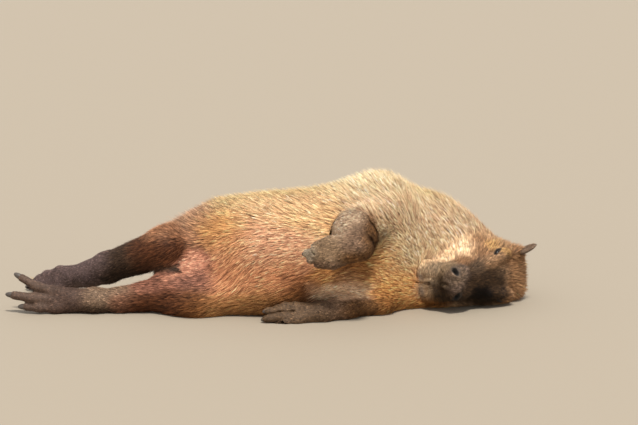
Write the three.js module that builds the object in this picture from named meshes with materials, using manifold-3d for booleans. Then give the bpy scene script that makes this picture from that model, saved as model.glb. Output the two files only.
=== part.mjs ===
// A capybara asleep on its left side, life size, in millimetres.
//
// +X runs from the rump to the neck, the belly looks along -Y and +Z is up. The animal lies on the
// floor at z = 0, so its right side is on top: the right eye, ear and legs are the upper ones.
// The body is one smooth field of rounded bones and muscles. Each named piece is that field, turned
// into a mesh at a cell size that suits it and parted from its neighbours by thin straight cuts.

import * as THREE from 'three';
import Module from 'manifold-3d';
import { mergeVertices } from 'three/addons/utils/BufferGeometryUtils.js';

const wasm = await Module();
wasm.setup();

const GAP = 0.3;                // width of the cuts between pieces
const FLOOR_DEPTH = 200;        // how far the slab that makes the resting flats reaches down
const FLOOR_SIZE = 4000;        // how far it reaches to all sides
const CUT_SIZE = 900;           // how far a cut runs where nothing stops it

// The box each mesh is made in, and the size of its cells, finest where the form is smallest.
const BODY_GRID = { low: [-560, -130, -90], high: [700, 500, 440], cell: [42, 39, 39] };
const HEAD_GRID = { low: [-110, -190, -130], high: [286, 130, 150], cell: [18.8, 18.8, 18.8] };
const PAW_GRID = { low: [-60, -90, -60], high: [250, 90, 60], cell: [21, 14, 14] };
const LEG_GRID = { margin: 75, cell: [30, 27, 27] };
const SLIVER = 0.02;            // a very small share of a cell
const PULL_TURNS = 4;           // how often a corner is pulled towards the surface
const LEAST_SLOPE = 0.2;
const MERGE = 0.001;            // corners closer than this are one
const FAR = 1e6;

const FUR = new THREE.MeshStandardMaterial({ color: 0xb98b5a, roughness: 0.85, metalness: 0 });
const DARK_FUR = new THREE.MeshStandardMaterial({ color: 0x5c4839, roughness: 0.85, metalness: 0 });
const BARE_SKIN = new THREE.MeshStandardMaterial({ color: 0x6b5b50, roughness: 0.7, metalness: 0 });
const HORN = new THREE.MeshStandardMaterial({ color: 0x5f5c5a, roughness: 0.45, metalness: 0 });
const EYE = new THREE.MeshStandardMaterial({ color: 0x17100c, roughness: 0.05, metalness: 0 });

// Vectors are plain arrays, because the fields below are worked out many thousands of times.
const add = (a, b, t = 1) => [a[0] + b[0] * t, a[1] + b[1] * t, a[2] + b[2] * t];
const minus = (a, b) => [a[0] - b[0], a[1] - b[1], a[2] - b[2]];
const dot = (a, b) => a[0] * b[0] + a[1] * b[1] + a[2] * b[2];
const cross = (a, b) => [0, 1, 2].map((i) => {
  const [j, k] = [(i + 1) % 3, (i + 2) % 3];
  return a[j] * b[k] - a[k] * b[j];
});
const scaled = (a, t) => a.map((v) => v * t);
const unit = (a) => scaled(a, 1 / Math.hypot(...a));
const mix = (a, b, t) => add(a, minus(b, a), t);

// A field gives the distance from a point to a surface, in millimetres, less than 0 inside.

// A bone with its flesh: a cone with round ends, of radius ra at a and rb at b.
function limb(a, ra, b, rb) {
  const along = minus(b, a);
  const length2 = dot(along, along);
  return (p) => {
    const from = minus(p, a);
    const t = Math.min(1, Math.max(0, dot(from, along) / length2));
    return Math.hypot(...add(from, along, -t)) - (ra + (rb - ra) * t);
  };
}

// An egg of flesh with half-lengths r along X, Y and Z.
function egg(c, r) {
  return (p) => {
    const q = minus(p, c);
    const k0 = Math.hypot(q[0] / r[0], q[1] / r[1], q[2] / r[2]);
    const k1 = Math.hypot(q[0] / r[0] ** 2, q[1] / r[1] ** 2, q[2] / r[2] ** 2);
    return k1 < 1e-9 ? -Math.min(...r) : (k0 * (k0 - 1)) / k1;
  };
}

// A block with half-lengths h and edges rounded to radius r.
function block(c, h, r) {
  return (p) => {
    const q = [0, 1, 2].map((i) => Math.abs(p[i] - c[i]) - h[i] + r);
    const out = Math.hypot(...q.map((v) => Math.max(v, 0)));
    return out + Math.min(Math.max(...q), 0) - r;
  };
}

// Several fields joined, with a fillet about as wide as k between them.
function blend(k, ...fields) {
  return (p) => fields.reduce((least, field) => {
    const d = field(p);
    const h = Math.max(k - Math.abs(least - d), 0) / k;
    return Math.min(least, d) - (h * h * k) / 4;
  }, FAR);
}

const onBothSides = (field) => (p) => field([p[0], p[1], Math.abs(p[2])]);

// A frame of three unit axes at a point, to place a piece drawn in its own coordinates.
function frameAt(origin, forward, towardUp) {
  const x = unit(forward);
  const z = unit(add(towardUp, x, -dot(towardUp, x)));
  const y = cross(z, x);
  return {
    x, y, z, origin,
    matrix: new THREE.Matrix4()
      .makeBasis(...[x, y, z].map((v) => new THREE.Vector3(...v)))
      .setPosition(...origin),
    inward: (p) => [x, y, z].map((axis) => dot(minus(p, origin), axis)),
    outward: (q) => add(add(add(origin, x, q[0]), y, q[1]), z, q[2]),
  };
}

// TRUNK. The back is at large Y and the belly at small Y. The flank that lies on the floor sinks a
// little below z = 0, and the floor then cuts it flat.
const TRUNK = [
  egg([-238, 255, 122], [160, 158, 132]),    // pelvis and rump
  egg([-105, 196, 150], [235, 200, 160]),    // belly
  egg([-150, 168, 58], [222, 165, 92]),      // belly where it sags on the floor
  egg([85, 208, 158], [205, 188, 170]),      // rib cage
  egg([176, 240, 174], [138, 162, 183]),     // shoulders and withers
  egg([180, 194, 42], [136, 112, 76]),       // chest where it sags on the floor
  egg([108, 78, 62], [74, 50, 46]),          // left armpit
  egg([-335, 76, 35], [84, 80, 64]),         // fold between the belly and the left thigh
];
const NECK = [
  egg([295, 285, 152], [142, 125, 144]),     // base of the neck
  egg([382, 305, 116], [98, 95, 116]),       // nape
  egg([338, 165, 28], [86, 50, 42]),         // throat where it sags on the floor
  limb([432, 300, 96], 84, [498, 286, 80], 76),
];
const SPINE_BLEND = 64;
const NECK_BLEND = 55;
const NECK_CUT = { at: [325, 240, 0], out: [1, 0.12, 0] };    // in front of the shoulders

// HEAD, in its own frame: x towards the nose, y towards the crown, z towards its right side.
const HEAD_YAW = THREE.MathUtils.degToRad(45);    // how far the muzzle swings from -Y towards -X
const HEAD_ROLL = 0.08;                           // how far the crown is lifted off the floor
const HEAD = frameAt(
  [504, 222, 84],
  [-Math.sin(HEAD_YAW), -Math.cos(HEAD_YAW), 0],
  [-HEAD_ROLL * Math.cos(HEAD_YAW), HEAD_ROLL * Math.sin(HEAD_YAW), 1],
);
const SKULL = [
  egg([0, 2, 0], [78, 58, 86]),                               // brain case
  egg([84, 28, 0], [90, 38, 58]),                             // forehead
  block([158, -20, 0], [70, 62, 48], 34),                     // muzzle
  block([203, 16, 0], [32, 30, 46], 20),                      // nose
  egg([215, -58, 26], [36, 40, 32]),                          // upper lip
  egg([211, -48, -28], [36, 40, 30]),                         // upper lip pushed up by the floor
  egg([184, -84, 0], [38, 24, 32]),                           // chin
  onBothSides(limb([178, -76, 8], 26, [60, -76, 46], 38)),    // lower jaw
  onBothSides(egg([48, -32, 48], [76, 66, 52])),              // cheek
  onBothSides(egg([116, -34, 36], [72, 50, 38])),             // cheek in front
  onBothSides(limb([106, 52, 42], 13, [42, 58, 56], 19)),     // brow
  onBothSides(limb([108, 18, 52], 14, [34, 16, 68], 24)),     // cheek bone
  egg([-8, 56, 50], [28, 22, 25]),                            // root of the right ear
  egg([-22, 34, -50], [28, 22, 26]),                          // root of the left ear
  egg([-17, 22, 2], [41, 38, 60]),                            // crown
];
const HEAD_BLEND = 24;
const THROAT_BLEND = 22;
const NAPE_CUT = { at: [4, -30, 0], out: [1, 0.66, 0], reach: [300, 300], length: 400 };
const JAW_CUT = { at: [76, -116, 0], out: [0, 1, -0.55], reach: [300, 186], length: 400 };
const EYE_RADIUS = 13;
const EYE_PLACE = [62, 50, 60];
const EYE_SIDES = [10, 7];

// EARS. Each is a spoon: an egg, with a smaller egg scooped from its outer side.
const EARS = {
  right: { side: 1, place: [-8, 66, 54], axis: [-0.4, 1, 0.45] },
  left: { side: -1, place: [-26, 26, -58], axis: [-1, -0.35, 0.0] },    // pressed back by the floor
};
const EAR_HALF = [34, 23, 9];       // half of its length, width and depth
const EAR_OUT = 0.72;               // how far its middle stands out, in half-lengths
const EAR_ROOT = 6;                 // where the ear ends inside the head
const EAR_OPENS = [0.3, 0, 1];      // the way the spoon faces, on the right side
const EAR_SIDES = [9, 6];
const SCOOP_HALF = [28, 18, 9];
const SCOOP_OUT = 28;               // how far along the ear the scoop's middle lies
const SCOOP_LIFT = 7;               // and how far it is moved to the outer side

// LEGS. Each is a chain of places along the bone with the radius of the flesh round them: shoulder
// or hip, elbow or knee, and on to the wrist or ankle. The socket is the cut where it leaves the
// body: a point on it, the way out of the body, and how far the cut reaches along and across.
const LEGS = {
  fore_right: {
    chain: [[[215, 150, 256], 62], [[99, 0, 241], 57], [[110, -84, 220], 33]],
    socket: { at: [108, 50, 240], out: [0, -0.97, 0.24], reach: [84, 78] },
    split: 0.42, blend: 22,
  },
  fore_left: {
    chain: [[[200, 172, 70], 60], [[165, 76, 36], 38], [[70, 14, 28], 30], [[12, -17, 24], 25]],
    socket: { at: [170, 92, 30], out: [-0.35, -0.94, 0], reach: [70, 62] },
    split: 0.3, blend: 40,
  },
  hind_right: {
    chain: [
      [[-262, 262, 176], 92], [[-418, 128, 172], 58], [[-592, 212, 94], 41], [[-641, 235, 71], 34],
    ],
    socket: { at: [-345, 205, 196], out: [-0.72, -0.69, 0], reach: [112, 92] },
    split: 0.16, blend: 55,
  },
  hind_left: {
    chain: [
      [[-262, 255, 78], 92], [[-398, 92, 56], 57], [[-545, 84, 33], 32], [[-616, 78, 33], 32],
    ],
    socket: { at: [-335, 160, 60], out: [-0.85, -0.53, 0], reach: [105, 105] },
    split: 0.2, blend: 55,
  },
};
const LEG_BLEND = 24;
const LEG_ROOM = 5;                 // how clear of a lower leg the flesh beside it keeps
const SOCKET_LENGTH = 230;
const SPLIT_CUT = { side: 120, length: 400 };
const WRIST_CUT = { side: 260, length: 400 };

// PAWS. The palm has a length and half a thickness. A toe has the place of its knuckle across the
// foot, its length, and how far its tip turns across and lifts.
const PAWS = {
  fore_right: {
    forward: [-1, 0.02, -0.14], back: [-0.05, -0.95, 0.3],
    palm: [112, 27], radius: 14,
    toes: [[30, 30, 2, -10], [13, 48, 4, -6], [-4, 58, 2, -5], [-20, 32, 0, -6]],
  },
  fore_left: {
    forward: [-1, -0.12, -0.02], back: [-0.1, -0.7, 0.7],
    palm: [108, 18], radius: 12,
    toes: [[-24, 44, -2, -6], [-12, 74, 0, 0], [10, 68, 2, 2], [21, 40, 0, 2]],
  },
  hind_right: {
    forward: [-0.86, 0.45, -0.245], back: [-0.4, -0.88, 0.2],
    palm: [142, 23], radius: 14,
    toes: [[-19, 72, 9, 0], [2, 96, 4, 2], [22, 76, 2, 2]],
  },
  hind_left: {
    forward: [-1, -0.07, 0.02], back: [0.02, -0.93, 0.3],
    palm: [152, 23], radius: 14,
    toes: [[-20, 70, 2, 0], [1, 104, 12, 4], [23, 84, 38, 4]],
  },
};
const PALM_BLEND = 14;
const KNUCKLES = 0.76;              // where the toes start, as a share of the palm's length
const HEEL = { along: 0.4, swell: 3 };
const RAY = { start: 0.25, spread: 0.45, drop: 2, root: 0.9, end: 0.8 };    // the bones in the palm
const TOE_BLEND = 12;
const OUTER_TOE = { back: 8, slim: 0.92 };
const TOE_BEND = { along: 0.5, turn: 0.35, lift: 3 };
const TOE_ROOT = 1.15;              // thickness of a toe at its root and at its tip
const TOE_TIP = { slim: 0.82, drop: 2 };

// CLAWS are blunt nails like small hoofs, sunk into the ends of the toes.
const CLAWS = {
  fore: { half: [12, 7.5, 6.5], out: 6 },
  hind: { half: [18, 9, 7.5], out: 9 },
};
const CLAW_LIFT = 0.12;             // as a share of the toe's radius
const CLAW_SIDES = [6, 4];

// Where only two opposite corners of a grid square are inside, the surface would touch itself, so a
// third corner is put just inside until there is no such square.
function fillChecks(value, count, indexOf, depth) {
  for (let found = true; found;) {
    found = false;
    for (let k = 0; k < count[2] - 1; k++)
      for (let j = 0; j < count[1] - 1; j++)
        for (let i = 0; i < count[0] - 1; i++)
          for (let axis = 0; axis < 3; axis++) {
            const [a, b, c, d] = [[0, 0], [1, 0], [0, 1], [1, 1]].map(([u, v]) => {
              const at = [i, j, k];
              at[(axis + 1) % 3] += u;
              at[(axis + 2) % 3] += v;
              return indexOf(...at);
            });
            const inside = [a, b, c, d].map((n) => value[n] < 0);
            if (inside[0] !== inside[3] || inside[1] !== inside[2] || inside[0] === inside[1]) continue;
            value[inside[0] ? b : a] = -depth;
            found = true;
          }
  }
}

// Turns a field into a closed mesh. Each cell of the grid that the surface passes through gets one
// corner, pulled onto the surface, and each crossed edge of the grid gets the face between them.
function meshOf(field, { low, high, cell }) {
  const count = low.map((v, i) => Math.ceil((high[i] - v) / cell[i]) + 1);
  const pointAt = (i, j, k) => [low[0] + i * cell[0], low[1] + j * cell[1], low[2] + k * cell[2]];
  const finest = Math.min(...cell);
  const indexOf = (i, j, k) => i + count[0] * (j + count[1] * k);
  const middle = mix(low, pointAt(...count.map((n) => n - 1)), 0.5);
  const bounds = block(middle, count.map((n, i) => ((n - 1) / 2 - 0.6) * cell[i]), 0);
  const closed = (p) => Math.max(field(p), bounds(p));
  const value = new Float32Array(count[0] * count[1] * count[2]);
  for (let k = 0; k < count[2]; k++)
    for (let j = 0; j < count[1]; j++)
      for (let i = 0; i < count[0]; i++) value[indexOf(i, j, k)] = closed(pointAt(i, j, k));
  fillChecks(value, count, indexOf, finest * SLIVER);

  const slope = (p) => {
    const e = finest * SLIVER;
    return [0, 1, 2].map((a) => {
      const q = [...p];
      const r = [...p];
      q[a] += e;
      r[a] -= e;
      return (closed(q) - closed(r)) / (2 * e);
    });
  };
  const corners = [];
  const cornerOf = new Map();
  const corner = (i, j, k) => {
    const key = indexOf(i, j, k);
    if (cornerOf.has(key)) return cornerOf.get(key);
    let sum = [0, 0, 0];
    let hits = 0;
    for (let axis = 0; axis < 3; axis++)
      for (let side = 0; side < 4; side++) {
        const a = [i, j, k];
        a[(axis + 1) % 3] += side & 1;
        a[(axis + 2) % 3] += side >> 1;
        const b = [...a];
        b[axis] += 1;
        const va = value[indexOf(...a)];
        const vb = value[indexOf(...b)];
        if (va < 0 === vb < 0) continue;
        sum = add(sum, mix(pointAt(...a), pointAt(...b), va / (va - vb)));
        hits += 1;
      }
    let p = scaled(sum, 1 / hits);
    for (let turn = 0; turn < PULL_TURNS; turn++) {
      const n = slope(p);
      const steep = Math.max(dot(n, n), LEAST_SLOPE);
      const move = Math.max(-finest / 3, Math.min(finest / 3, closed(p) / steep));
      p = add(p, n, -move);
    }
    const start = pointAt(i, j, k);
    p = p.map((v, a) => {
      const [least, most] = [SLIVER, 1 - SLIVER].map((share) => start[a] + cell[a] * share);
      return Math.min(most, Math.max(least, v));
    });
    cornerOf.set(key, corners.length / 3);
    corners.push(...p);
    return cornerOf.get(key);
  };

  const faces = [];
  for (let k = 0; k < count[2] - 1; k++)
    for (let j = 0; j < count[1] - 1; j++)
      for (let i = 0; i < count[0] - 1; i++)
        for (let axis = 0; axis < 3; axis++) {
          const here = value[indexOf(i, j, k)];
          const step = [0, 1, 2].map((a) => (a === axis ? 1 : 0));
          const there = value[indexOf(i + step[0], j + step[1], k + step[2])];
          if (here < 0 === there < 0) continue;
          const ring = [[0, 0], [1, 0], [1, 1], [0, 1]].map(([u, v]) => {
            const c = [i, j, k];
            c[(axis + 1) % 3] -= u;
            c[(axis + 2) % 3] -= v;
            return corner(...c);
          });
          if (here >= 0) ring.reverse();
          faces.push(ring[0], ring[1], ring[2], ring[0], ring[2], ring[3]);
        }
  return new THREE.BufferGeometry()
    .setAttribute('position', new THREE.Float32BufferAttribute(corners, 3))
    .setIndex(faces);
}

// A geometry as a solid that can be cut and joined.
function solid(geometry, matrix = new THREE.Matrix4()) {
  const bare = new THREE.BufferGeometry()
    .setAttribute('position', geometry.getAttribute('position').clone())
    .setIndex(geometry.index)
    .applyMatrix4(matrix);
  const merged = mergeVertices(bare, MERGE);
  return new wasm.Manifold(new wasm.Mesh({
    numProp: 3,
    vertProperties: merged.attributes.position.array,
    triVerts: new Uint32Array(merged.index.array),
  }));
}

// The solid as a geometry again.
function geometryOf(made) {
  const mesh = made.getMesh();
  return new THREE.BufferGeometry()
    .setAttribute('position', new THREE.BufferAttribute(Float32Array.from(mesh.vertProperties), 3))
    .setIndex(new THREE.BufferAttribute(Uint32Array.from(mesh.triVerts), 1));
}

// A solid from a field drawn in a frame, so that the grid lies along the piece.
function fleshIn(frame, field, grid) {
  return solid(meshOf((q) => field(frame.outward(q)), grid), frame.matrix);
}

// The block of space beyond a cut: it starts at the frame's origin, runs along its x axis, and
// reaches the given distances to each side. It is a little larger to cut and smaller to keep.
function beyond(frame, wide, high, grow, length = CUT_SIZE) {
  const box = new THREE.BoxGeometry(length + grow, 2 * (wide + grow), 2 * (high + grow));
  box.translate((length - grow) / 2, 0, 0);
  return solid(box, frame.matrix);
}
const CUT = GAP / 2;
const KEEP = -GAP / 2;

const WORLD = frameAt([0, 0, 0], [1, 0, 0], [0, 0, 1]);
const floorSlab = solid(
  new THREE.BoxGeometry(FLOOR_SIZE, FLOOR_SIZE, FLOOR_DEPTH).translate(0, 0, -FLOOR_DEPTH / 2),
);
const largest = (made) => made.decompose().reduce((a, b) => (b.volume() > a.volume() ? b : a));

// FIELDS of the body and its legs.
const bones = (chain) => chain.slice(1).map(([b, rb], i) => limb(chain[i][0], chain[i][1], b, rb));
const legBones = (name) => bones(LEGS[name].chain);
const legField = (name) => blend(LEG_BLEND, ...legBones(name));
const names = Object.keys(LEGS);
const headField = blend(HEAD_BLEND, ...SKULL);
const headInWorld = (p) => headField(HEAD.inward(p));
const torso = blend(NECK_BLEND, blend(SPINE_BLEND, ...TRUNK), ...NECK);
const limbed = names.reduce((made, name) => blend(LEGS[name].blend, made, legBones(name)[0]), torso);
const bodyField = blend(THROAT_BLEND, limbed, headInWorld);

// A leg's cuts: the socket where it leaves the body, the split at its elbow or knee, and the wrist.
function cutsOf(name) {
  const { chain, socket, split } = LEGS[name];
  const { forward, back } = PAWS[name];
  const [knee, next] = [chain[1][0], chain[2][0]];
  const [before, last] = chain.slice(-2).map(([place]) => place);
  const socketFrame = frameAt(socket.at, socket.out, [0, 0, 1]);
  const splitFrame = frameAt(mix(knee, next, split), minus(next, knee), back);
  const wristFrame = frameAt(last, mix(unit(minus(last, before)), unit(forward), 0.5), back);
  const across = (frame, cut) => (grow) => beyond(frame, cut.side, cut.side, grow, cut.length);
  return {
    socket: (grow) => beyond(socketFrame, ...socket.reach, grow, SOCKET_LENGTH),
    split: across(splitFrame, SPLIT_CUT),
    wrist: across(wristFrame, WRIST_CUT),
  };
}

// A paw in its own frame: x along the toes, z out of its back, y across it.
function pawOf(name) {
  const { chain } = LEGS[name];
  const paw = PAWS[name];
  const [wrist, wristRadius] = chain[chain.length - 1];
  const [long, thick] = paw.palm;
  const side = name.endsWith('right') ? 1 : -1;
  const frame = frameAt(wrist, paw.forward, paw.back);
  const knuckle = long * KNUCKLES;
  const toes = paw.toes.map(([across, length, turn, lift], i) => {
    const outer = i === 0 || i === paw.toes.length - 1;
    const bendAcross = side * (across + turn * TOE_BEND.turn);
    return {
      start: [knuckle - (outer ? OUTER_TOE.back : 0), side * across, 0],
      bend: [knuckle + length * TOE_BEND.along, bendAcross, lift + TOE_BEND.lift],
      tip: [knuckle + length, side * (across + turn), lift - TOE_TIP.drop],
      radius: paw.radius * (outer ? OUTER_TOE.slim : 1),
    };
  });
  const rays = toes.map(({ start }) => limb(
    [long * RAY.start, start[1] * RAY.spread, -RAY.drop], thick * RAY.root, start, thick * RAY.end,
  ));
  const heel = limb([0, 0, 0], wristRadius, [long * HEEL.along, 0, 0], thick + HEEL.swell);
  const field = blend(TOE_BLEND, blend(PALM_BLEND, heel, ...rays), ...toes.flatMap((toe) => [
    limb(toe.start, toe.radius * TOE_ROOT, toe.bend, toe.radius),
    limb(toe.bend, toe.radius, toe.tip, toe.radius * TOE_TIP.slim),
  ]));
  return { frame, toes, field: (p) => field(frame.inward(p)) };
}

// The box that holds some places, with a margin all round.
function around(places, margin) {
  const low = [0, 1, 2].map((a) => Math.min(...places.map((p) => p[a])) - margin);
  const high = [0, 1, 2].map((a) => Math.max(...places.map((p) => p[a])) + margin);
  return { low, high };
}

const pieces = new Map();
const keep = (name, made, material) => pieces.set(name, { made, material });
const lessAll = (made, others) => others.reduce((rest, other) => rest.subtract(other), made);

// The whole body in one mesh, with the top of each leg as far as its elbow or knee.
const stubs = names.map((name) => {
  const { chain, split } = LEGS[name];
  const [[knee, ra], [next, rb]] = [chain[1], chain[2]];
  return limb(knee, ra, mix(knee, next, split), ra + (rb - ra) * split);
});
const wholeField = blend(LEG_BLEND, bodyField, ...stubs);
const bodyIn = (grow) => fleshIn(WORLD, (p) => wholeField(p) - grow, BODY_GRID);
const body = bodyIn(0);

// A way in the head's axes, turned to the animal's.
const inHead = (v) => minus(HEAD.outward(v), HEAD.origin);

// An ear and the room it takes from the flesh round it.
function earOf({ side, place, axis }) {
  const [leans, across, faces] = EAR_OPENS;
  const frame = frameAt(HEAD.outward(place), inHead(axis), inHead([leans * side, across, faces]));
  const root = frameAt(frame.outward([EAR_ROOT, 0, 0]), frame.x, frame.z);
  const egg3 = (half, out, lift, grow) => solid(
    new THREE.SphereGeometry(1, ...EAR_SIDES).scale(...half.map((v) => v + grow)).translate(out, 0, lift),
    frame.matrix,
  );
  const whole = (grow) => egg3(EAR_HALF, EAR_HALF[0] * EAR_OUT, 0, grow);
  const above = (grow) => beyond(root, CUT_SIZE, CUT_SIZE, grow);
  return {
    spoon: whole(0).subtract(egg3(SCOOP_HALF, SCOOP_OUT, side * SCOOP_LIFT, 0)).intersect(above(KEEP)),
    room: whole(GAP).intersect(above(CUT)),
  };
}
const ears = Object.fromEntries(Object.entries(EARS).map(([name, place]) => [name, earOf(place)]));
const earRooms = Object.values(ears).map(({ room }) => room);

// HEAD, parted from the neck behind the ears, and from the throat under the jaw.
const headCut = ({ at, out, reach, length }, up, grow) => beyond(
  frameAt(HEAD.outward(at), inHead(out), up), ...reach, grow, length,
);
const headSpace = (grow) => headCut(NAPE_CUT, HEAD.z, grow).intersect(headCut(JAW_CUT, HEAD.x, grow));
const eyeBall = (side, radius) => solid(
  new THREE.SphereGeometry(radius, ...EYE_SIDES).translate(EYE_PLACE[0], EYE_PLACE[1], EYE_PLACE[2] * side),
  HEAD.matrix,
);
const eyeRooms = Object.values(EARS).map(({ side }) => eyeBall(side, EYE_RADIUS + GAP));
for (const [name, { side }] of Object.entries(EARS)) {
  keep(`eye_${name}`, eyeBall(side, EYE_RADIUS), EYE);
  keep(`ear_${name}`, ears[name].spoon, BARE_SKIN);
}
const skull = fleshIn(HEAD, bodyField, HEAD_GRID).intersect(headSpace(KEEP));
keep('head', lessAll(skull, [...eyeRooms, ...earRooms]), DARK_FUR);

// NECK and TRUNK, parted by a plane in front of the shoulders.
const neckCut = frameAt(NECK_CUT.at, NECK_CUT.out, [0, 0, 1]);
const neckSpace = (grow) => beyond(neckCut, CUT_SIZE, CUT_SIZE, grow);
const sockets = (grow) => names.map((name) => cutsOf(name).socket(grow));
const notHead = [headSpace(CUT), ...earRooms];
keep('neck', lessAll(body.intersect(neckSpace(KEEP)), notHead), FUR);
keep('trunk', lessAll(body, [...sockets(CUT), neckSpace(CUT), ...notHead]), FUR);

// LEGS, each in three pieces. The lower ones keep clear of the rest of the body.
const grownBody = bodyIn(GAP);
const claws = new Map();
names.forEach((name, turn) => {
  const [end, hand] = name.split('_');
  const called = end === 'fore' ? ['upper_arm', 'forearm', 'forepaw'] : ['thigh', 'shank', 'hindfoot'];
  const paw = pawOf(name);
  const cuts = cutsOf(name);
  const lowerField = blend(LEG_BLEND, legField(name), paw.field);
  const { low, high } = around(LEGS[name].chain.slice(1).map(([place]) => place), LEG_GRID.margin);

  const ownSpace = lessAll(cuts.socket(KEEP), sockets(CUT).slice(0, turn));
  const others = grownBody.subtract(ownSpace.intersect(cuts.split(CUT)));
  const lowerIn = (grow) => fleshIn(
    WORLD, (p) => lowerField(p) - grow, { low, high, cell: LEG_GRID.cell },
  );
  const room = lowerIn(LEG_ROOM).intersect(cuts.split(CUT));
  keep(`${called[0]}_${hand}`, body.intersect(ownSpace).subtract(room), FUR);

  const lower = lowerIn(0).intersect(cuts.split(KEEP));
  keep(`${called[1]}_${hand}`, lessAll(lower, [cuts.wrist(CUT), others]), DARK_FUR);

  const { half, out } = CLAWS[end];
  const clawRooms = paw.toes.map((toe, i) => {
    const tip = paw.frame.outward(toe.tip);
    const nail = frameAt(tip, minus(tip, paw.frame.outward(toe.bend)), paw.frame.z);
    const shape = (grow) => solid(
      new THREE.SphereGeometry(1, ...CLAW_SIDES).rotateZ(-Math.PI / 2)
        .scale(...half.map((v) => v + grow))
        .translate(out, 0, toe.radius * CLAW_LIFT),
      nail.matrix,
    );
    claws.set(`claw_${name}_${i + 1}`, shape(0));
    return shape(GAP);
  });
  const foot = fleshIn(paw.frame, lowerField, PAW_GRID).intersect(cuts.wrist(KEEP));
  keep(`${called[2]}_${hand}`, lessAll(foot, [others, ...clawRooms]), BARE_SKIN);
});
for (const [name, made] of claws) keep(name, made, HORN);

const capybara = new THREE.Group();
capybara.name = 'capybara';
for (const [name, { made, material }] of pieces) {
  const mesh = new THREE.Mesh(geometryOf(largest(made.subtract(floorSlab))), material);
  mesh.name = name;
  capybara.add(mesh);
}

// The frame's origin is under the middle of the whole animal's box.
const bounds = new THREE.Box3().setFromObject(capybara);
const centre = bounds.getCenter(new THREE.Vector3());
capybara.position.set(-centre.x, -centre.y, 0);

export default capybara;
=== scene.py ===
# A capybara asleep on its left side: one smooth skin over the body's own bones and muscles, a coat
# of mesh tufts that follows the lie of the hair, wet eyes between heavy lids, and dull horn nails.

import math
from contextlib import contextmanager
from functools import reduce
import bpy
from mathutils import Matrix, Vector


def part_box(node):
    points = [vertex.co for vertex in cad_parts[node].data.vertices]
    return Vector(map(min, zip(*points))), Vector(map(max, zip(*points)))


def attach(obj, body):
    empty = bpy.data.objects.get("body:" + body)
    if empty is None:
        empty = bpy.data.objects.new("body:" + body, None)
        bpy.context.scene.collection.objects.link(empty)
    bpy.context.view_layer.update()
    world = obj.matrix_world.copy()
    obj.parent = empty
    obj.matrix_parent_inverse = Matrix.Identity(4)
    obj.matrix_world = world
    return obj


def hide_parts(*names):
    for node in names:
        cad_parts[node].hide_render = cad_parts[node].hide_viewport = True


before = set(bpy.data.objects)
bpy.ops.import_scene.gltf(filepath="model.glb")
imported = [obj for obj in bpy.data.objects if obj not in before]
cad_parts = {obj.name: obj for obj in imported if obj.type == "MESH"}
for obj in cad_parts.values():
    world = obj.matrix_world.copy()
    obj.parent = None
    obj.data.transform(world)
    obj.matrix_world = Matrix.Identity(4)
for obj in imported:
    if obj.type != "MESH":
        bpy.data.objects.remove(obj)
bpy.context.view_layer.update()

from types import SimpleNamespace

import bmesh
import bpy
import numpy as np
from mathutils import Matrix, Vector

chance = np.random.default_rng(7)


# Vectors and axes. Shapes are drawn in millimetres, in the body's axes: x from the rump to the
# neck, y from the belly to the back, z up from the floor.

MM = 0.001
SQUARE_CM = 100
FAR = 1e4


def unit(v):
    v = np.asarray(v, float)
    return v / np.maximum(np.linalg.norm(v, axis=-1, keepdims=True), 1e-12)


def across(v, n):
    """The part of v that lies along the surface whose normal is n, at length 1."""
    return unit(v - n * np.sum(v * n, axis=-1, keepdims=True))


def step(low, high, v):
    """0 below low, 1 above high, and a smooth rise between them."""
    t = np.clip((v - low) / (high - low), 0, 1)
    return t * t * (3 - 2 * t)


def hump(distance, reach):
    """1 at no distance, falling smoothly to nearly 0 at twice the reach."""
    return np.exp(-(distance / reach) ** 2)


class Axes:
    """A point and three unit axes: x forward, z towards the given way up."""

    def __init__(self, origin, forward, up):
        x = unit(forward)
        z = across(np.asarray(up, float), x)
        self.origin = np.array(origin, float)
        self.axes = np.array([x, np.cross(z, x), z])

    def inward(self, p):
        return (p - self.origin) @ self.axes.T

    def outward(self, q):
        return np.asarray(q, float) @ self.axes + self.origin

    def turned(self, v):
        return np.asarray(v, float) @ self.axes

    def matrix(self, place, half):
        """Takes a ball of radius 1 to an egg at a place in these axes."""
        made = np.eye(4)
        made[:3, :3] = self.axes.T * np.asarray(half, float)
        made[:3, 3] = self.outward(place)
        return Matrix(made.tolist())


# Fields give the distance from places to a surface, less than 0 inside. Balls are the eggs that
# roughly fill the same shape, as (middle, half-lengths).

class Limb:
    """A bone with its flesh: a cone with round ends, of radius ra at a and rb at b."""

    def __init__(self, a, ra, b, rb):
        self.a, self.ra, self.rb = np.array(a, float), ra, rb
        self.along = np.array(b, float) - self.a

    def __call__(self, p):
        t = np.clip((p - self.a) @ self.along / (self.along @ self.along), 0, 1)
        away = np.linalg.norm(p - self.a - t[:, None] * self.along, axis=1)
        return away - (self.ra + (self.rb - self.ra) * t)

    def balls(self):
        count = 2 + int(np.linalg.norm(self.along) / (0.7 * min(self.ra, self.rb)))
        return [
            (self.a + self.along * t, [self.ra + (self.rb - self.ra) * t] * 3)
            for t in np.linspace(0, 1, count)
        ]


class Egg:
    """An egg of flesh with half-lengths along the three axes."""

    def __init__(self, middle, half):
        self.middle, self.half = np.array(middle, float), np.array(half, float)

    def __call__(self, p):
        q = (p - self.middle) / self.half
        k0 = np.linalg.norm(q, axis=1)
        k1 = np.linalg.norm(q / self.half, axis=1)
        return k0 * (k0 - 1) / np.maximum(k1, 1e-6)

    def balls(self):
        return [(self.middle, self.half)]


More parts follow.
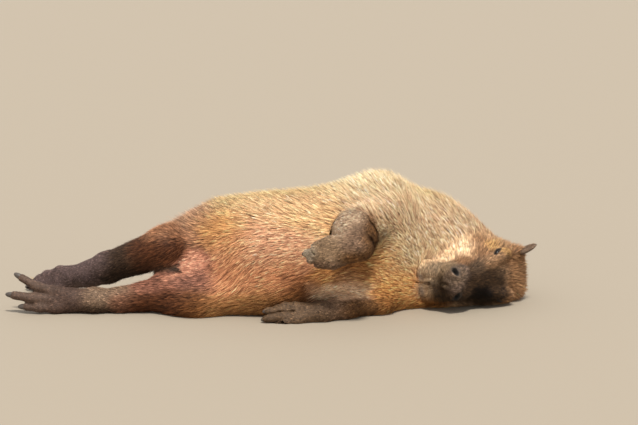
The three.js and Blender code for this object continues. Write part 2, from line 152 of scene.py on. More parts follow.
class Block:
    """A block with half-lengths along the axes and round edges."""

    def __init__(self, middle, half, edge):
        self.middle, self.half, self.edge = np.array(middle, float), np.array(half, float), edge

    def __call__(self, p):
        q = np.abs(p - self.middle) - self.half + self.edge
        out = np.linalg.norm(np.maximum(q, 0), axis=1)
        return out + np.minimum(q.max(axis=1), 0) - self.edge

    def balls(self):
        return [(self.middle, self.half * 1.1)]


def fillet(width, a, b):
    """The nearer of two fields, with a fillet between them."""
    h = np.maximum(width - np.abs(a - b), 0) / width
    return np.minimum(a, b) - h * h * width / 4


def blended(width, shapes, p):
    return reduce(lambda least, shape: fillet(width, least, shape(p)), shapes, np.full(len(p), FAR))


def mirrored(shapes):
    """The shapes of the animal's right side, and the same ones on its left."""
    flip = np.array([1, 1, -1])
    out = []
    for shape in shapes:
        if isinstance(shape, Limb):
            other = Limb(shape.a * flip, shape.ra, (shape.a + shape.along) * flip, shape.rb)
        else:
            other = Egg(shape.middle * flip, shape.half)
        out += [shape, other]
    return out


# The form of the body

BODY = Axes((0, 0, 0), (1, 0, 0), (0, 0, 1))
TRUNK = [
    Egg([-238, 255, 122], [160, 158, 132]),    # pelvis and rump
    Egg([-105, 196, 150], [235, 200, 160]),    # belly
    Egg([-150, 168, 58], [222, 165, 92]),      # belly where it sags on the floor
    Egg([85, 208, 158], [205, 188, 170]),      # rib cage
    Egg([176, 240, 174], [138, 162, 183]),     # shoulders and withers
    Egg([180, 194, 42], [136, 112, 76]),       # chest where it sags on the floor
    Egg([108, 78, 62], [74, 50, 46]),          # left armpit
    Egg([-335, 76, 35], [84, 80, 64]),         # fold between the belly and the left thigh
]
NECK = [
    Egg([295, 285, 152], [142, 125, 144]),
    Egg([382, 305, 116], [98, 95, 116]),
    Egg([338, 165, 28], [86, 50, 42]),
    Limb([432, 300, 96], 84, [498, 286, 80], 76),
]
SPINE_FILLET, NECK_FILLET, HEAD_FILLET, THROAT_FILLET, LEG_FILLET = 64, 55, 24, 22, 24
TOUCH_FILLET = 6        # where a lower leg lies against the body
LEG_REACH, PAW_REACH = 90, 320      # how far a lower leg and its paw reach from the leg's bones

# The head's axes: x to the nose, y to the crown, z to the right cheek.
HEAD_YAW = math.radians(45)
HEAD_ROLL = 0.08
HEAD = Axes(
    (504, 222, 84), (-math.sin(HEAD_YAW), -math.cos(HEAD_YAW), 0),
    (-HEAD_ROLL * math.cos(HEAD_YAW), HEAD_ROLL * math.sin(HEAD_YAW), 1))
SKULL = [
    Egg([0, 2, 0], [78, 58, 86]),              # brain case
    Egg([84, 28, 0], [90, 38, 58]),            # forehead
    Block([158, -20, 0], [70, 62, 48], 34),    # muzzle
    Block([203, 16, 0], [32, 30, 46], 20),     # nose
    Egg([184, -84, 0], [38, 24, 32]),          # chin
    Egg([-8, 56, 50], [28, 22, 25]),           # root of the right ear
    Egg([-22, 34, -50], [28, 22, 26]),         # root of the left ear
    Egg([-17, 22, 2], [41, 38, 60]),           # crown
    Egg([215, -58, 26], [36, 40, 32]),         # upper lip
    Egg([211, -48, -28], [36, 40, 30]),        # upper lip pushed up by the floor
] + mirrored([
    Limb([178, -76, 8], 26, [60, -76, 46], 38),            # lower jaw
    Egg([48, -32, 48], [76, 66, 52]),                      # cheek
    Egg([116, -34, 36], [72, 50, 38]),                     # cheek in front
    Limb([106, 52, 42], 13, [42, 58, 56], 19),             # brow
    Limb([108, 18, 52], 14, [34, 16, 68], 24),             # cheek bone
])
HEAD_REACH = (np.array([-150, -190, -160]), np.array([320, 170, 170]))

# The eyes: how far each is open, how long its slit is, and how far that lies back from its middle.
EYE_PLACE = np.array([62, 50, 60])
EYE_RADIUS = 13
EYE_FACES = [0.30, 0.52, 0.80]
EYE_SLIT = [-0.80, 0.0, 0.60]
EYES = {
    "eye_right": SimpleNamespace(side=1, open=3.8, long=16.5, shift=3.5),
    "eye_left": SimpleNamespace(side=-1, open=0.9, long=13.0, shift=0.0),
}
LID = 2.2
LID_FILLET = 12
LID_FRONT = 10          # how far off the eyeball the lids reach
LID_EDGE = (-0.5, 0.4)  # where beside the slit the skin turns in
# The thick rim of a lid: its height, its place beside the slit, its width, and where it ends along it.
LID_RIM = SimpleNamespace(rise=0.8, off=1.5, width=1.1, ends=(0.9, 1.25))
EYE_BACK = 2.4          # how far behind the eyeball's surface the skin between the lids lies

EARS = {
    "ear_right": SimpleNamespace(side=1, place=[-8, 66, 54], axis=[-0.4, 1, 0.45]),
    "ear_left": SimpleNamespace(side=-1, place=[-26, 26, -58], axis=[-1, -0.35, 0.0]),
}
EAR_OPENS = [0.3, 0, 1]
EAR_HALF = [34, 22.5, 8.6]
EAR_OUT = 24.5
EAR_FILLET = 9
CUP = SimpleNamespace(middle=[30, 0], half=[24, 16.5], depth=8, edge=(0.4, 1.0), thick=12)
CUP_RIDGES = SimpleNamespace(height=0.9, close=0.9, edge=(0.9, 0.3))

# Each leg is a chain of places along the bone with the radius of the flesh round them.
LEGS = {
    "fore_right": SimpleNamespace(
        chain=[([215, 150, 256], 62), ([99, 0, 241], 57), ([110, -84, 220], 33)],
        split=0.42, fillet=22),
    "fore_left": SimpleNamespace(
        chain=[([200, 172, 70], 60), ([165, 76, 36], 38), ([70, 14, 28], 30), ([12, -17, 24], 25)],
        split=0.3, fillet=40),
    "hind_right": SimpleNamespace(
        chain=[
            ([-262, 262, 176], 92), ([-418, 128, 172], 58), ([-592, 212, 94], 41),
            ([-641, 235, 71], 34),
        ],
        split=0.16, fillet=55),
    "hind_left": SimpleNamespace(
        chain=[
            ([-262, 255, 78], 92), ([-398, 92, 56], 57), ([-545, 84, 33], 32), ([-616, 78, 33], 32),
        ],
        split=0.2, fillet=55),
}

# A palm has a length and half a thickness. A toe has the place of its knuckle across the foot, its
# length, and how far its tip turns across and lifts. The web is the fillet between the toes.
PAWS = {
    "fore_right": SimpleNamespace(
        forward=[-1, 0.02, -0.14], back=[-0.05, -0.95, 0.3], palm=(112, 27), radius=14, web=12,
        toes=[(30, 30, 2, -10), (13, 48, 4, -6), (-4, 58, 2, -5), (-20, 32, 0, -6)]),
    "fore_left": SimpleNamespace(
        forward=[-1, -0.12, -0.02], back=[-0.1, -0.7, 0.7], palm=(108, 18), radius=12, web=6,
        toes=[(-24, 44, -2, -6), (-12, 74, 0, 0), (10, 68, 2, 2), (21, 40, 0, 2)]),
    "hind_right": SimpleNamespace(
        forward=[-0.86, 0.45, -0.245], back=[-0.4, -0.88, 0.2], palm=(142, 23), radius=14, web=10,
        toes=[(-19, 72, 9, 0), (2, 96, 4, 2), (22, 76, 2, 2)]),
    "hind_left": SimpleNamespace(
        forward=[-1, -0.07, 0.02], back=[0.02, -0.93, 0.3], palm=(152, 23), radius=14, web=10,
        toes=[(-20, 70, 2, 0), (1, 104, 12, 4), (23, 84, 38, 4)]),
}
PALM_FILLET = 14
KNUCKLES = 0.76         # where the toes start, as a share of the palm's length
HEEL = SimpleNamespace(along=0.4, swell=3)
RAY = SimpleNamespace(start=0.25, spread=0.45, drop=2, root=0.9, end=0.8)
OUTER_TOE = SimpleNamespace(back=8, slim=0.92)
TOE_BEND = SimpleNamespace(along=0.5, turn=0.35, lift=3)
TOE_ROOT = 1.15
TOE_TIP = SimpleNamespace(slim=0.86, drop=2)
NAILS = {
    "fore": SimpleNamespace(half=(11, 6.6, 5.4), out=5),
    "hind": SimpleNamespace(half=(18, 8, 6.6), out=8),
}
NAIL_LIFT = 0.12


def make_paw(name):
    """The paw's axes (x along the toes, z out of its back), its palm, its toes and its nails."""
    paw, (wrist, wrist_radius) = PAWS[name], LEGS[name].chain[-1]
    long, thick = paw.palm
    side = 1 if name.endswith("right") else -1
    axes = Axes(wrist, paw.forward, paw.back)
    knuckle = long * KNUCKLES
    palm = [Limb([0, 0, 0], wrist_radius, [long * HEEL.along, 0, 0], thick + HEEL.swell)]
    toes, nails = [], []
    for i, (place_across, length, turn, lift) in enumerate(paw.toes):
        outer = i in (0, len(paw.toes) - 1)
        start = np.array([knuckle - (OUTER_TOE.back if outer else 0), side * place_across, 0])
        bend = [knuckle + length * TOE_BEND.along, side * (place_across + turn * TOE_BEND.turn),
                lift + TOE_BEND.lift]
        tip = [knuckle + length, side * (place_across + turn), lift - TOE_TIP.drop]
        radius = paw.radius * (OUTER_TOE.slim if outer else 1)
        root = [long * RAY.start, start[1] * RAY.spread, -RAY.drop]
        palm.append(Limb(root, thick * RAY.root, start, thick * RAY.end))
        toes.append([Limb(start, radius * TOE_ROOT, bend, radius),
                     Limb(bend, radius, tip, radius * TOE_TIP.slim)])
        way = axes.turned(np.subtract(tip, bend))
        nails.append((Axes(axes.outward(tip), way, axes.axes[2]), radius * NAIL_LIFT))
    return SimpleNamespace(axes=axes, palm=palm, toes=toes, nails=nails)


paws = {name: make_paw(name) for name in LEGS}
bones = {
    name: [Limb(a, ra, b, rb) for (a, ra), (b, rb) in zip(leg.chain, leg.chain[1:])]
    for name, leg in LEGS.items()
}


def lid_axes(eye):
    """Axes at an eye: x along its slit, z the way it looks."""
    flip = np.array([1, 1, eye.side])
    return Axes(HEAD.outward(EYE_PLACE * flip), HEAD.turned(EYE_SLIT * flip), HEAD.turned(EYE_FACES * flip))


def ear_axes(ear):
    leans, sideways, faces = EAR_OPENS
    return Axes(
        HEAD.outward(ear.place), HEAD.turned(ear.axis),
        HEAD.turned([leans * ear.side, sideways, faces]))


for eye in EYES.values():
    eye.axes = lid_axes(eye)
for ear in EARS.values():
    ear.axes = ear_axes(ear)
EAR = Egg([EAR_OUT, 0, 0], EAR_HALF)
LIDS = Egg([0, 0, 0], [EYE_RADIUS + LID] * 3)


def stub(name):
    """The flesh of a leg from its elbow or knee to where its lower part is split off."""
    (knee, ra), (after, rb) = LEGS[name].chain[1:3]
    split = LEGS[name].split
    return Limb(knee, ra, np.array(knee) + split * np.subtract(after, knee), ra + (rb - ra) * split)


def head_field(p):
    q = HEAD.inward(p)
    out = np.full(len(p), FAR)
    close = np.all((q > HEAD_REACH[0]) & (q < HEAD_REACH[1]), axis=1)
    made = blended(HEAD_FILLET, SKULL, q[close])
    for ear in EARS.values():
        made = fillet(EAR_FILLET, made, EAR(ear.axes.inward(p[close])))
    for eye in EYES.values():
        made = fillet(LID_FILLET, made, LIDS(eye.axes.inward(p[close])))
    out[close] = made
    return out


def lower_leg_field(name, p):
    places = np.array([place for place, radius in LEGS[name].chain[1:]])
    low, high = places.min(axis=0) - PAW_REACH, places.max(axis=0) + LEG_REACH
    close = np.all((p > low) & (p < high), axis=1)
    out = np.full(len(p), FAR)
    paw, q = paws[name], paws[name].axes.inward(p[close])
    made = blended(LEG_FILLET, bones[name][1:], p[close])
    made = fillet(LEG_FILLET, made, blended(PALM_FILLET, paw.palm, q))
    for toe in paw.toes:
        made = fillet(PAWS[name].web, made, blended(PAWS[name].web, toe, q))
    out[close] = made
    return out


def body_field(p):
    made = blended(SPINE_FILLET, TRUNK, p)
    made = reduce(lambda least, shape: fillet(NECK_FILLET, least, shape(p)), NECK, made)
    for name, leg in LEGS.items():
        made = fillet(leg.fillet, made, bones[name][0](p))
    made = fillet(THROAT_FILLET, made, head_field(p))
    for name in LEGS:
        made = fillet(LEG_FILLET, made, stub(name)(p))
    for name in LEGS:
        made = fillet(TOUCH_FILLET, made, lower_leg_field(name, p))
    return made


def slope(field, p, reach=0.4):
    """The field at places, and the way in which it rises."""
    here = field(p)
    rise = np.stack([field(p + reach * way) - here for way in np.eye(3)], axis=1) / reach
    return here, rise


def all_balls():
    """Every egg that fills the body, as (axes, middle, half-lengths)."""
    for shape in TRUNK + NECK + [bone for name in LEGS for bone in bones[name]]:
        yield from ((BODY, *ball) for ball in shape.balls())
    for shape in SKULL:
        yield from ((HEAD, *ball) for ball in shape.balls())
    for ear in EARS.values():
        yield from ((ear.axes, *ball) for ball in EAR.balls())
    for paw in paws.values():
        for shape in paw.palm + [part for toe in paw.toes for part in toe]:
            yield from ((paw.axes, *ball) for ball in shape.balls())


# The frame's own axes differ from the body's by a shift, which an eye of the solid body gives.
def middle(node):
    low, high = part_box(node)
    return np.array((low + high) / 2)


SHIFT = middle("eye_right") - HEAD.outward(EYE_PLACE) * MM
TO_FRAME = Matrix.Translation(SHIFT) @ Matrix.Scale(MM, 4)


def to_body(co):
    return (co - SHIFT) / MM


def to_frame(p):
    return p * MM + SHIFT


# Camera, light and floor

CAMERA_RISE = math.radians(12)
CAMERA_AWAY = 7.4
CAMERA_TARGET = np.array([0.0, 0.0, 296.4])
CAMERA_LENS = 154.65
SKY = SimpleNamespace(colour=(0.97, 0.98, 1.0, 1), power=0.85)
SUN = SimpleNamespace(way=(0.1, -0.5, 1.0), angle=8, power=4.1, colour=(1.0, 0.955, 0.88))
FLOOR = SimpleNamespace(size=30, colour="978c7c", roughness=0.9)


def make_camera():
    target = Vector(to_frame(CAMERA_TARGET))
    back = Vector((0, -math.cos(CAMERA_RISE), math.sin(CAMERA_RISE)))
    camera = bpy.data.objects.new("camera", bpy.data.cameras.new("camera"))
    camera.data.lens = CAMERA_LENS
    camera.data.sensor_width = 36
    camera.data.clip_end = 100
    camera.location = target + back * CAMERA_AWAY
    camera.rotation_euler = back.to_track_quat("Z", "Y").to_euler()
    bpy.context.scene.collection.objects.link(camera)
    bpy.context.scene.camera = camera


def make_studio():
    """A pale sky, one soft sun and a plain floor."""
    world = bpy.data.worlds.new("studio")
    world.use_nodes = True
    background = world.node_tree.nodes["Background"]
    background.inputs["Color"].default_value = SKY.colour
    background.inputs["Strength"].default_value = SKY.power
    bpy.context.scene.world = world
    bpy.context.scene.view_settings.view_transform = "Standard"
    sun = bpy.data.objects.new("key", bpy.data.lights.new("key", "SUN"))
    sun.data.angle = math.radians(SUN.angle)
    sun.data.energy = SUN.power
    sun.data.color = SUN.colour
    sun.rotation_euler = Vector(SUN.way).to_track_quat("Z", "Y").to_euler()
    bpy.context.scene.collection.objects.link(sun)
    bm = bmesh.new()
    bmesh.ops.create_grid(bm, x_segments=2, y_segments=2, size=FLOOR.size)
    floor = new_object("floor", mesh_of(bm, "floor"), floor_material())


# Colours and materials

def paint(code):
    """A colour code such as c8a070, as the linear colour that the shaders use."""
    parts = [int(code[i:i + 2], 16) / 255 for i in (0, 2, 4)]
    return [v / 12.92 if v <= 0.04045 else ((v + 0.055) / 1.055) ** 2.4 for v in parts]


def shader_of(material):
    material.use_nodes = True
    return material.node_tree.nodes["Principled BSDF"]


def floor_material():
    material = bpy.data.materials.new("floor")
    shader = shader_of(material)
    shader.inputs["Base Color"].default_value = (*paint(FLOOR.colour), 1)
    shader.inputs["Roughness"].default_value = FLOOR.roughness
    return material


def new_group(name, inputs, outputs):
    """An empty shader group with the named inputs and outputs."""
    group = bpy.data.node_groups.new(name, "ShaderNodeTree")
    for label, kind, value in inputs:
        socket = group.interface.new_socket(label, in_out="INPUT", socket_type=f"NodeSocket{kind}")
        socket.default_value = value
    for label, kind in outputs:
        group.interface.new_socket(label, in_out="OUTPUT", socket_type=f"NodeSocket{kind}")
    inner = SimpleNamespace(tree=group, start=group.nodes.new("NodeGroupInput"))
    inner.end = group.nodes.new("NodeGroupOutput")
    return inner


def place(tree, kind, links=(), **settings):
    """Adds a node: settings go to its properties, or to its inputs where the name is an input's."""
    node = tree.nodes.new(f"ShaderNode{kind}")
    for key, value in settings.items():
        label = key.replace("_", " ").title()
        if hasattr(node, key):
            setattr(node, key, value)
        else:
            node.inputs[label].default_value = value
    for label, socket in links:
        tree.links.new(socket, node.inputs[label])
    return node


def sum_of(tree, operation, *parts):
    """The output of one sum, whose parts are sockets or numbers."""
    node = place(tree, "Math", operation=operation)
    for i, part in enumerate(parts):
        if isinstance(part, float):
            node.inputs[i].default_value = part
        else:
            tree.links.new(part, node.inputs[i])
    return node.outputs[0]


def mottle_group():
    """Uneven colour: large soft patches and small specks, both lighter and darker."""
    inner = new_group(
        "mottle",
        [("Color", "Color", (1, 1, 1, 1)), ("Patch Size", "Float", 8.0), ("Patches", "Float", 0.3),
         ("Speck Size", "Float", 300.0), ("Specks", "Float", 0.3)],
        [("Color", "Color")],
    )
    tree, given = inner.tree, inner.start.outputs
    where = place(tree, "TexCoord").outputs["Object"]
    level = 1.0
    for size, amount, detail in (("Patch Size", "Patches", 3.0), ("Speck Size", "Specks", 2.0)):
        noise = place(tree, "TexNoise", [("Vector", where), ("Scale", given[size])], detail=detail)
        uneven = sum_of(tree, "SUBTRACT", noise.outputs["Fac"], 0.5)
        level = sum_of(tree, "ADD", sum_of(tree, "MULTIPLY", uneven, given[amount]), level)
    tone = place(tree, "VectorMath", [(0, given["Color"]), ("Scale", level)], operation="SCALE")
    tree.links.new(tone.outputs[0], inner.end.inputs["Color"])
    return tree


def grain_group():
    """Height of skin: fine cells like pores, over soft lumps."""
    inner = new_group(
        "grain",
        [("Cell Size", "Float", 500.0), ("Cells", "Float", 0.6), ("Lump Size", "Float", 90.0)],
        [("Height", "Float")],
    )
    tree, given = inner.tree, inner.start.outputs
    where = place(tree, "TexCoord").outputs["Object"]
    cells = place(tree, "TexVoronoi", [("Vector", where), ("Scale", given["Cell Size"])])
    lumps = place(tree, "TexNoise", [("Vector", where), ("Scale", given["Lump Size"])], detail=4.0)
    part = sum_of(tree, "MULTIPLY", cells.outputs["Distance"], given["Cells"])
    tree.links.new(sum_of(tree, "ADD", part, lumps.outputs["Fac"]), inner.end.inputs["Height"])
    return tree


def use_group(tree, group, **values):
    node = tree.nodes.new("ShaderNodeGroup")
    node.node_tree = group
    for key, value in values.items():
        node.inputs[key.replace("_", " ").title()].default_value = value
    return node


def bump(tree, strength, distance, **cells):
    """Gives the material's shader a bump of skin's grain."""
    height = use_group(tree, grain, **cells).outputs["Height"]
    node = place(tree, "Bump", [("Height", height)], strength=strength, distance=distance)
    tree.links.new(node.outputs["Normal"], tree.nodes["Principled BSDF"].inputs["Normal"])


def mottled_material(name, attribute, **uneven):
    """A material of uneven colour, which comes from an attribute of the mesh where one is named."""
    material = bpy.data.materials.new(name)
    shader = shader_of(material)
    tree = material.node_tree
    mottled = use_group(tree, mottle, **uneven)
    if attribute:
        source = place(tree, "Attribute", attribute_name=attribute)
        tree.links.new(source.outputs["Color"], mottled.inputs["Color"])
    tree.links.new(mottled.outputs["Color"], shader.inputs["Base Color"])
    return material, shader, mottled


def skin_material():
    material, shader, mottled = mottled_material(
        "skin", "hide", patch_size=26, patches=0.6, speck_size=340, specks=0.9)
    shader.inputs["Roughness"].default_value = 0.62
    shader.inputs["Specular IOR Level"].default_value = 0.35
    bump(material.node_tree, 0.8, 0.0018, cell_size=380, cells=0.8, lump_size=150)
    return material


def coat_material():
    material, shader, mottled = mottled_material(
        "coat", "coat", patch_size=14, patches=0.3, speck_size=160, specks=0.25)
    shader.inputs["Roughness"].default_value = 0.6
    shader.inputs["Specular IOR Level"].default_value = 0.16
    return material


def horn_material():
    material, shader, mottled = mottled_material(
        "horn", None, patch_size=60, patches=0.7, speck_size=500, specks=0.4)
    mottled.inputs["Color"].default_value = (*paint("463e38"), 1)
    shader.inputs["Roughness"].default_value = 0.48
    bump(material.node_tree, 0.5, 0.0006, cell_size=300, cells=0.3, lump_size=260)
    return material


def eye_material():
    material, shader, mottled = mottled_material(
        "eye", "iris", patch_size=200, patches=0.8, speck_size=900, specks=0.6)
    shader.inputs["Roughness"].default_value = 0.12
    shader.inputs["Specular IOR Level"].default_value = 0.12
    shader.inputs["Coat Weight"].default_value = 0.2
    shader.inputs["Coat Roughness"].default_value = 0.02
    return material


# Meshes

def new_object(name, mesh, *materials):
    piece = bpy.data.objects.new(name, mesh)
    bpy.context.scene.collection.objects.link(piece)
    for material in materials:
        mesh.materials.append(material)
    return piece


def mesh_of(bm, name):
    """A new mesh with what the bmesh holds, which is freed."""
    mesh = bpy.data.meshes.new(name)
    bm.to_mesh(mesh)
    bm.free()
    return mesh


@contextmanager
def edited(mesh):
    """The mesh as a bmesh, whose changes go back into it."""
    bm = bmesh.new()
    bm.from_mesh(mesh)
    yield bm
    bm.to_mesh(mesh)
    bm.free()


def finish(piece, slot, *nodes):
    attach(piece, "root")
    if nodes:
        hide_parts(*nodes)


def read(mesh, what, length, kind=np.float32, source="vertices"):
    items = getattr(mesh, source)
    values = np.zeros(len(items) * length, kind)
    items.foreach_get(what, values)
    return values.reshape(-1, length) if length > 1 else values


def set_places(mesh, co):
    mesh.vertices.foreach_set("co", np.asarray(co, np.float32).ravel())
    mesh.update()


def set_colours(mesh, name, colours):
    layer = mesh.color_attributes.new(name, "FLOAT_COLOR", "POINT")
    full = np.ones((len(colours), 4), np.float32)
    full[:, :3] = colours
    layer.data.foreach_set("color", full.ravel())


def spread(values, edges, weight, turns):
    """Evens out values over the mesh by moving each towards the mean of its neighbours."""
    a, b = edges.T
    n = len(values)
    count = np.bincount(a, minlength=n) + np.bincount(b, minlength=n)
    out = values.astype(float).copy()
    for turn in range(turns):
        for column in out.T:
            mean = np.bincount(a, column[b], n) + np.bincount(b, column[a], n)
            column += weight * (mean / np.maximum(count, 1) - column)
    return out


# Skin

FLESH = sorted(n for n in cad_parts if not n.startswith(("eye", "claw")))
VOXEL = 0.0034
COARSER = 0.27          # share of the trunk's faces that stay
COAT_DEPTH = 0.9        # depth of the skin, as a share of the height of the coat's tips
FLOOR_LIFT = 0.8        # how far the skin's resting flats keep off the floor
LONGEST_MOVE = 7
LEAST_SLOPE = 0.3       # a flatter slope of the field counts as this
EVENING = 0.5           # how far a corner moves towards its neighbours at a time
PLAIN_HAIR = (8, 24)    # between these lengths of hair the skin's faces grow larger
PLAIN_LEVELS = 10       # steps between the finest and the coarsest skin
SHALLOW = (0.15, 50)    # share of the depth that is left at the floor, and how high up it is whole


def use_modifier(piece, kind, **settings):
    modifier = piece.modifiers.new("shape", kind)
    for key, value in settings.items():
        setattr(modifier, key, value)
    shaped = piece.evaluated_get(bpy.context.evaluated_depsgraph_get())
    piece.data = bpy.data.meshes.new_from_object(shaped)
    piece.modifiers.clear()


def keep_largest(mesh):
    """Deletes every shell of the mesh but the one with the most corners."""
    with edited(mesh) as bm:
        unseen = set(bm.verts)
        shells = []
        while unseen:
            shell = {unseen.pop()}
            edge_of_shell = list(shell)
            while edge_of_shell:
                v = edge_of_shell.pop()
                fresh = {e.other_vert(v) for e in v.link_edges} & unseen
                unseen -= fresh
                shell |= fresh
                edge_of_shell += fresh
            shells.append(shell)
        for shell in sorted(shells, key=len)[:-1]:
            bmesh.ops.delete(bm, geom=list(shell), context="VERTS")


def refine(mesh, groups):
    """Splits each face whose corners are all near the groups' spots into smaller ones."""
    chosen = near(groups, to_body(read(mesh, "co", 3).astype(float)))
    with edited(mesh) as bm:
        edges = {e for f in bm.faces if all(chosen[v.index] for v in f.verts) for e in f.edges}
        bmesh.ops.subdivide_edges(bm, edges=list(edges), cuts=1, use_grid_fill=True)
        bmesh.ops.triangulate(bm, faces=bm.faces)


def start_skin():
    """Eggs that fill the body, fused into one even mesh."""
    bm = bmesh.new()
    bmesh.ops.create_uvsphere(bm, u_segments=18, v_segments=12, radius=1)
    ball = mesh_of(bm, "ball")
    bm = bmesh.new()
    for axes, spot, half in all_balls():
        egg = ball.copy()
        egg.transform(TO_FRAME @ axes.matrix(spot, half))
        bm.from_mesh(egg)
        bpy.data.meshes.remove(egg)
    bpy.data.meshes.remove(ball)
    piece = new_object("skin", mesh_of(bm, "skin"))
    use_modifier(piece, "REMESH", mode="VOXEL", voxel_size=VOXEL)
    keep_largest(piece.data)
    return piece


def settle(mesh, depth, turns):
    """Moves the mesh onto the body's surface, less the depth of the coat."""
    p = to_body(read(mesh, "co", 3).astype(float))
    for turn in range(turns):
        here, rise = slope(body_field, p)
        steep = np.maximum(np.sum(rise * rise, axis=1), LEAST_SLOPE)
        move = np.clip((here + depth) / steep, -LONGEST_MOVE, LONGEST_MOVE)
        p -= rise * move[:, None]
        p[:, 2] = np.maximum(p[:, 2], FLOOR_LIFT)
    set_places(mesh, to_frame(p))
    return p


def even_out(mesh, turns):
    """Slides the mesh's corners along the surface until they are evenly spaced."""
    co = read(mesh, "co", 3).astype(float)
    edges = read(mesh, "vertices", 2, np.int32, "edges")
    normal = read(mesh, "normal", 3)
    move = spread(co, edges, EVENING, turns) - co
    set_places(mesh, co + move - normal * np.sum(move * normal, axis=1, keepdims=True))


def looks_of(mesh):
    """The coat's style at each corner of the mesh."""
    p = to_body(read(mesh, "co", 3).astype(float))
    return p, coat_at(p, read(mesh, "normal", 3).astype(float))[0]


def coat_depth(mesh):
    """How deep the skin lies under the tips of the coat."""
    p, styles = looks_of(mesh)
    least, height = SHALLOW
    depth = COAT_DEPTH * styles[:, LENGTH] * styles[:, RISE]
    depth *= least + (1 - least) * step(0, height, p[:, 2])
    return spread(depth[:, None], read(mesh, "vertices", 2, np.int32, "edges"), EVENING, 12)[:, 0]


# Folds, holes and bumps of the skin. A fold has axes, whether it is on both sides of the head, a
# line, a width and a depth. A bump has axes, a middle, a width and a height. The mouth comes first.
FOLDS = [
    (HEAD, True, [(238, 16, 0), (246, -20, -1), (246, -48, -3), (248, -84, -3)], 4.5, 7.5),
    (HEAD, False, [(244, -46, -2), (247, -64, -5), (250, -84, -7)], 4.0, 8.0),
    (HEAD, True, [(250, -84, 0), (238, -95, 22), (214, -98, 42), (178, -90, 56)], 3.6, 8.0),
    (HEAD, True, [(229, 30, 44), (239, 14, 43), (246, -4, 38)], 2.4, 3.6),
    (HEAD, True, [(214, 40, 40), (200, 34, 48), (190, 20, 52)], 3.5, 1.6),
    (HEAD, True, [(96, 44, 64), (78, 62, 62), (56, 70, 56), (38, 66, 58)], 3.0, 1.6),
    (HEAD, True, [(92, 30, 72), (72, 24, 80), (50, 28, 82), (36, 40, 76)], 3.0, 1.6),
    (HEAD, True, [(88, 20, 78), (66, 12, 86), (42, 18, 88)], 3.5, 1.2),
    (HEAD, True, [(10, 46, 78), (0, 54, 80), (-14, 50, 80)], 4.0, 2.5),
    (BODY, False, [(144, -20, 276), (158, -10, 246), (150, 2, 214), (128, 8, 190)], 7.0, 6.0),
    (BODY, False, [(60, 20, 280), (50, 10, 250), (58, 8, 214)], 7.0, 4.0),
    (BODY, False, [(-26, -92, 216), (-19, -92, 208), (-12, -92, 202)], 3.0, 8.0),
    (BODY, False, [(-6, -88, 238), (2, -88, 234)], 3.0, 5.0),
    (paws["fore_left"].axes, False, [(78, 1, 14), (110, 1, 14), (150, 1, 10)], 2.2, 6.5),
    (BODY, False, [(-14, -118, 196), (22, -120, 194), (50, -120, 198)], 4.0, 2.2),
    (BODY, False, [(-22, -112, 178), (14, -116, 176), (40, -116, 180)], 4.0, 2.0),
    (BODY, False, [(-300, 66, 165), (-336, 66, 140), (-372, 66, 118), (-410, 62, 96)], 7.0, 6.0),
    (BODY, False, [(-286, 52, 146), (-320, 50, 122), (-352, 46, 108)], 6.0, 4.5),
    (BODY, False, [(-276, 60, 182), (-312, 74, 176), (-346, 80, 160)], 7.0, 4.0),
    (BODY, False, [(-300, 12, 92), (-296, 4, 60), (-286, 6, 30)], 9.0, 5.0),
    (BODY, False, [(40, 30, 120), (70, 22, 96), (104, 22, 84), (140, 26, 80)], 8.0, 6.0),
    (BODY, False, [(20, 14, 84), (50, 16, 52), (60, 6, 40)], 6.0, 3.5),
]
MOUTH_FOLDS = 2
FOLD_LIPS = SimpleNamespace(off=2.2, rise=0.35)     # skin pushed up beside a fold, as shares of it
BUMPS = [
    (BODY, (-121, 0, 142), 5, 4.5), (BODY, (-108, 6, 178), 5, 4.5), (BODY, (-30, 2, 150), 5, 4),
    (BODY, (-190, 12, 170), 5, 4), (HEAD, (150, -30, 62), 16, 2), (HEAD, (150, -30, -62), 16, 2),
]
NOSTRILS = [
    SimpleNamespace(place=np.array([221, 37, 37 * side]), way=[1, 25, -16 * side], half=(13.5, 8.5),
                    depth=15, rim=2.4, side=side)
    for side in (1, -1)
]
for hole in NOSTRILS:
    outward = slope(lambda q: head_field(HEAD.outward(q)), hole.place[None, :].astype(float))[1][0]
    hole.axes = Axes(hole.place, hole.way, outward)
# A nostril's shape: how far off the skin it is felt, which way its lower rim lies, how high the rim is
# above as a share of below, where it is and how wide, and where its pit starts.
NOSTRIL_REACH = 20
NOSTRIL_LOWER = SimpleNamespace(way=(0.75, -0.65), edge=(-0.1, 0.8))
NOSTRIL_RIM = SimpleNamespace(least=0.2, off=1.35, width=0.25, pit=(0.5, 1.05))
TOE_CREASES = (0.16, 0.52, 0.78)
TOE_CREASE = SimpleNamespace(width=2.0, depth=0.5, middle=2.4, reach=170, off=1.7)


def distance_to_line(p, line):
    line = np.array(line, float)
    least = np.full(len(p), FAR)
    for a, b in zip(line, line[1:]):
        along = b - a
        t = np.clip((p - a) @ along / (along @ along), 0, 1)
        least = np.minimum(least, np.linalg.norm(p - a - t[:, None] * along, axis=1))
    return least


def fold_height(p):
    height = np.zeros(len(p))
    for axes, both, line, width, depth in FOLDS:
        q = axes.inward(p)
        if both:
            q[:, 2] = np.abs(q[:, 2])
        away = distance_to_line(q, line)
        lips = FOLD_LIPS.rise * hump(away - FOLD_LIPS.off * width, width)
        height += depth * (lips - hump(away, width))
    for axes, spot, width, rise in BUMPS:
        height += rise * hump(np.linalg.norm(axes.inward(p) - spot, axis=1), width)
    return height


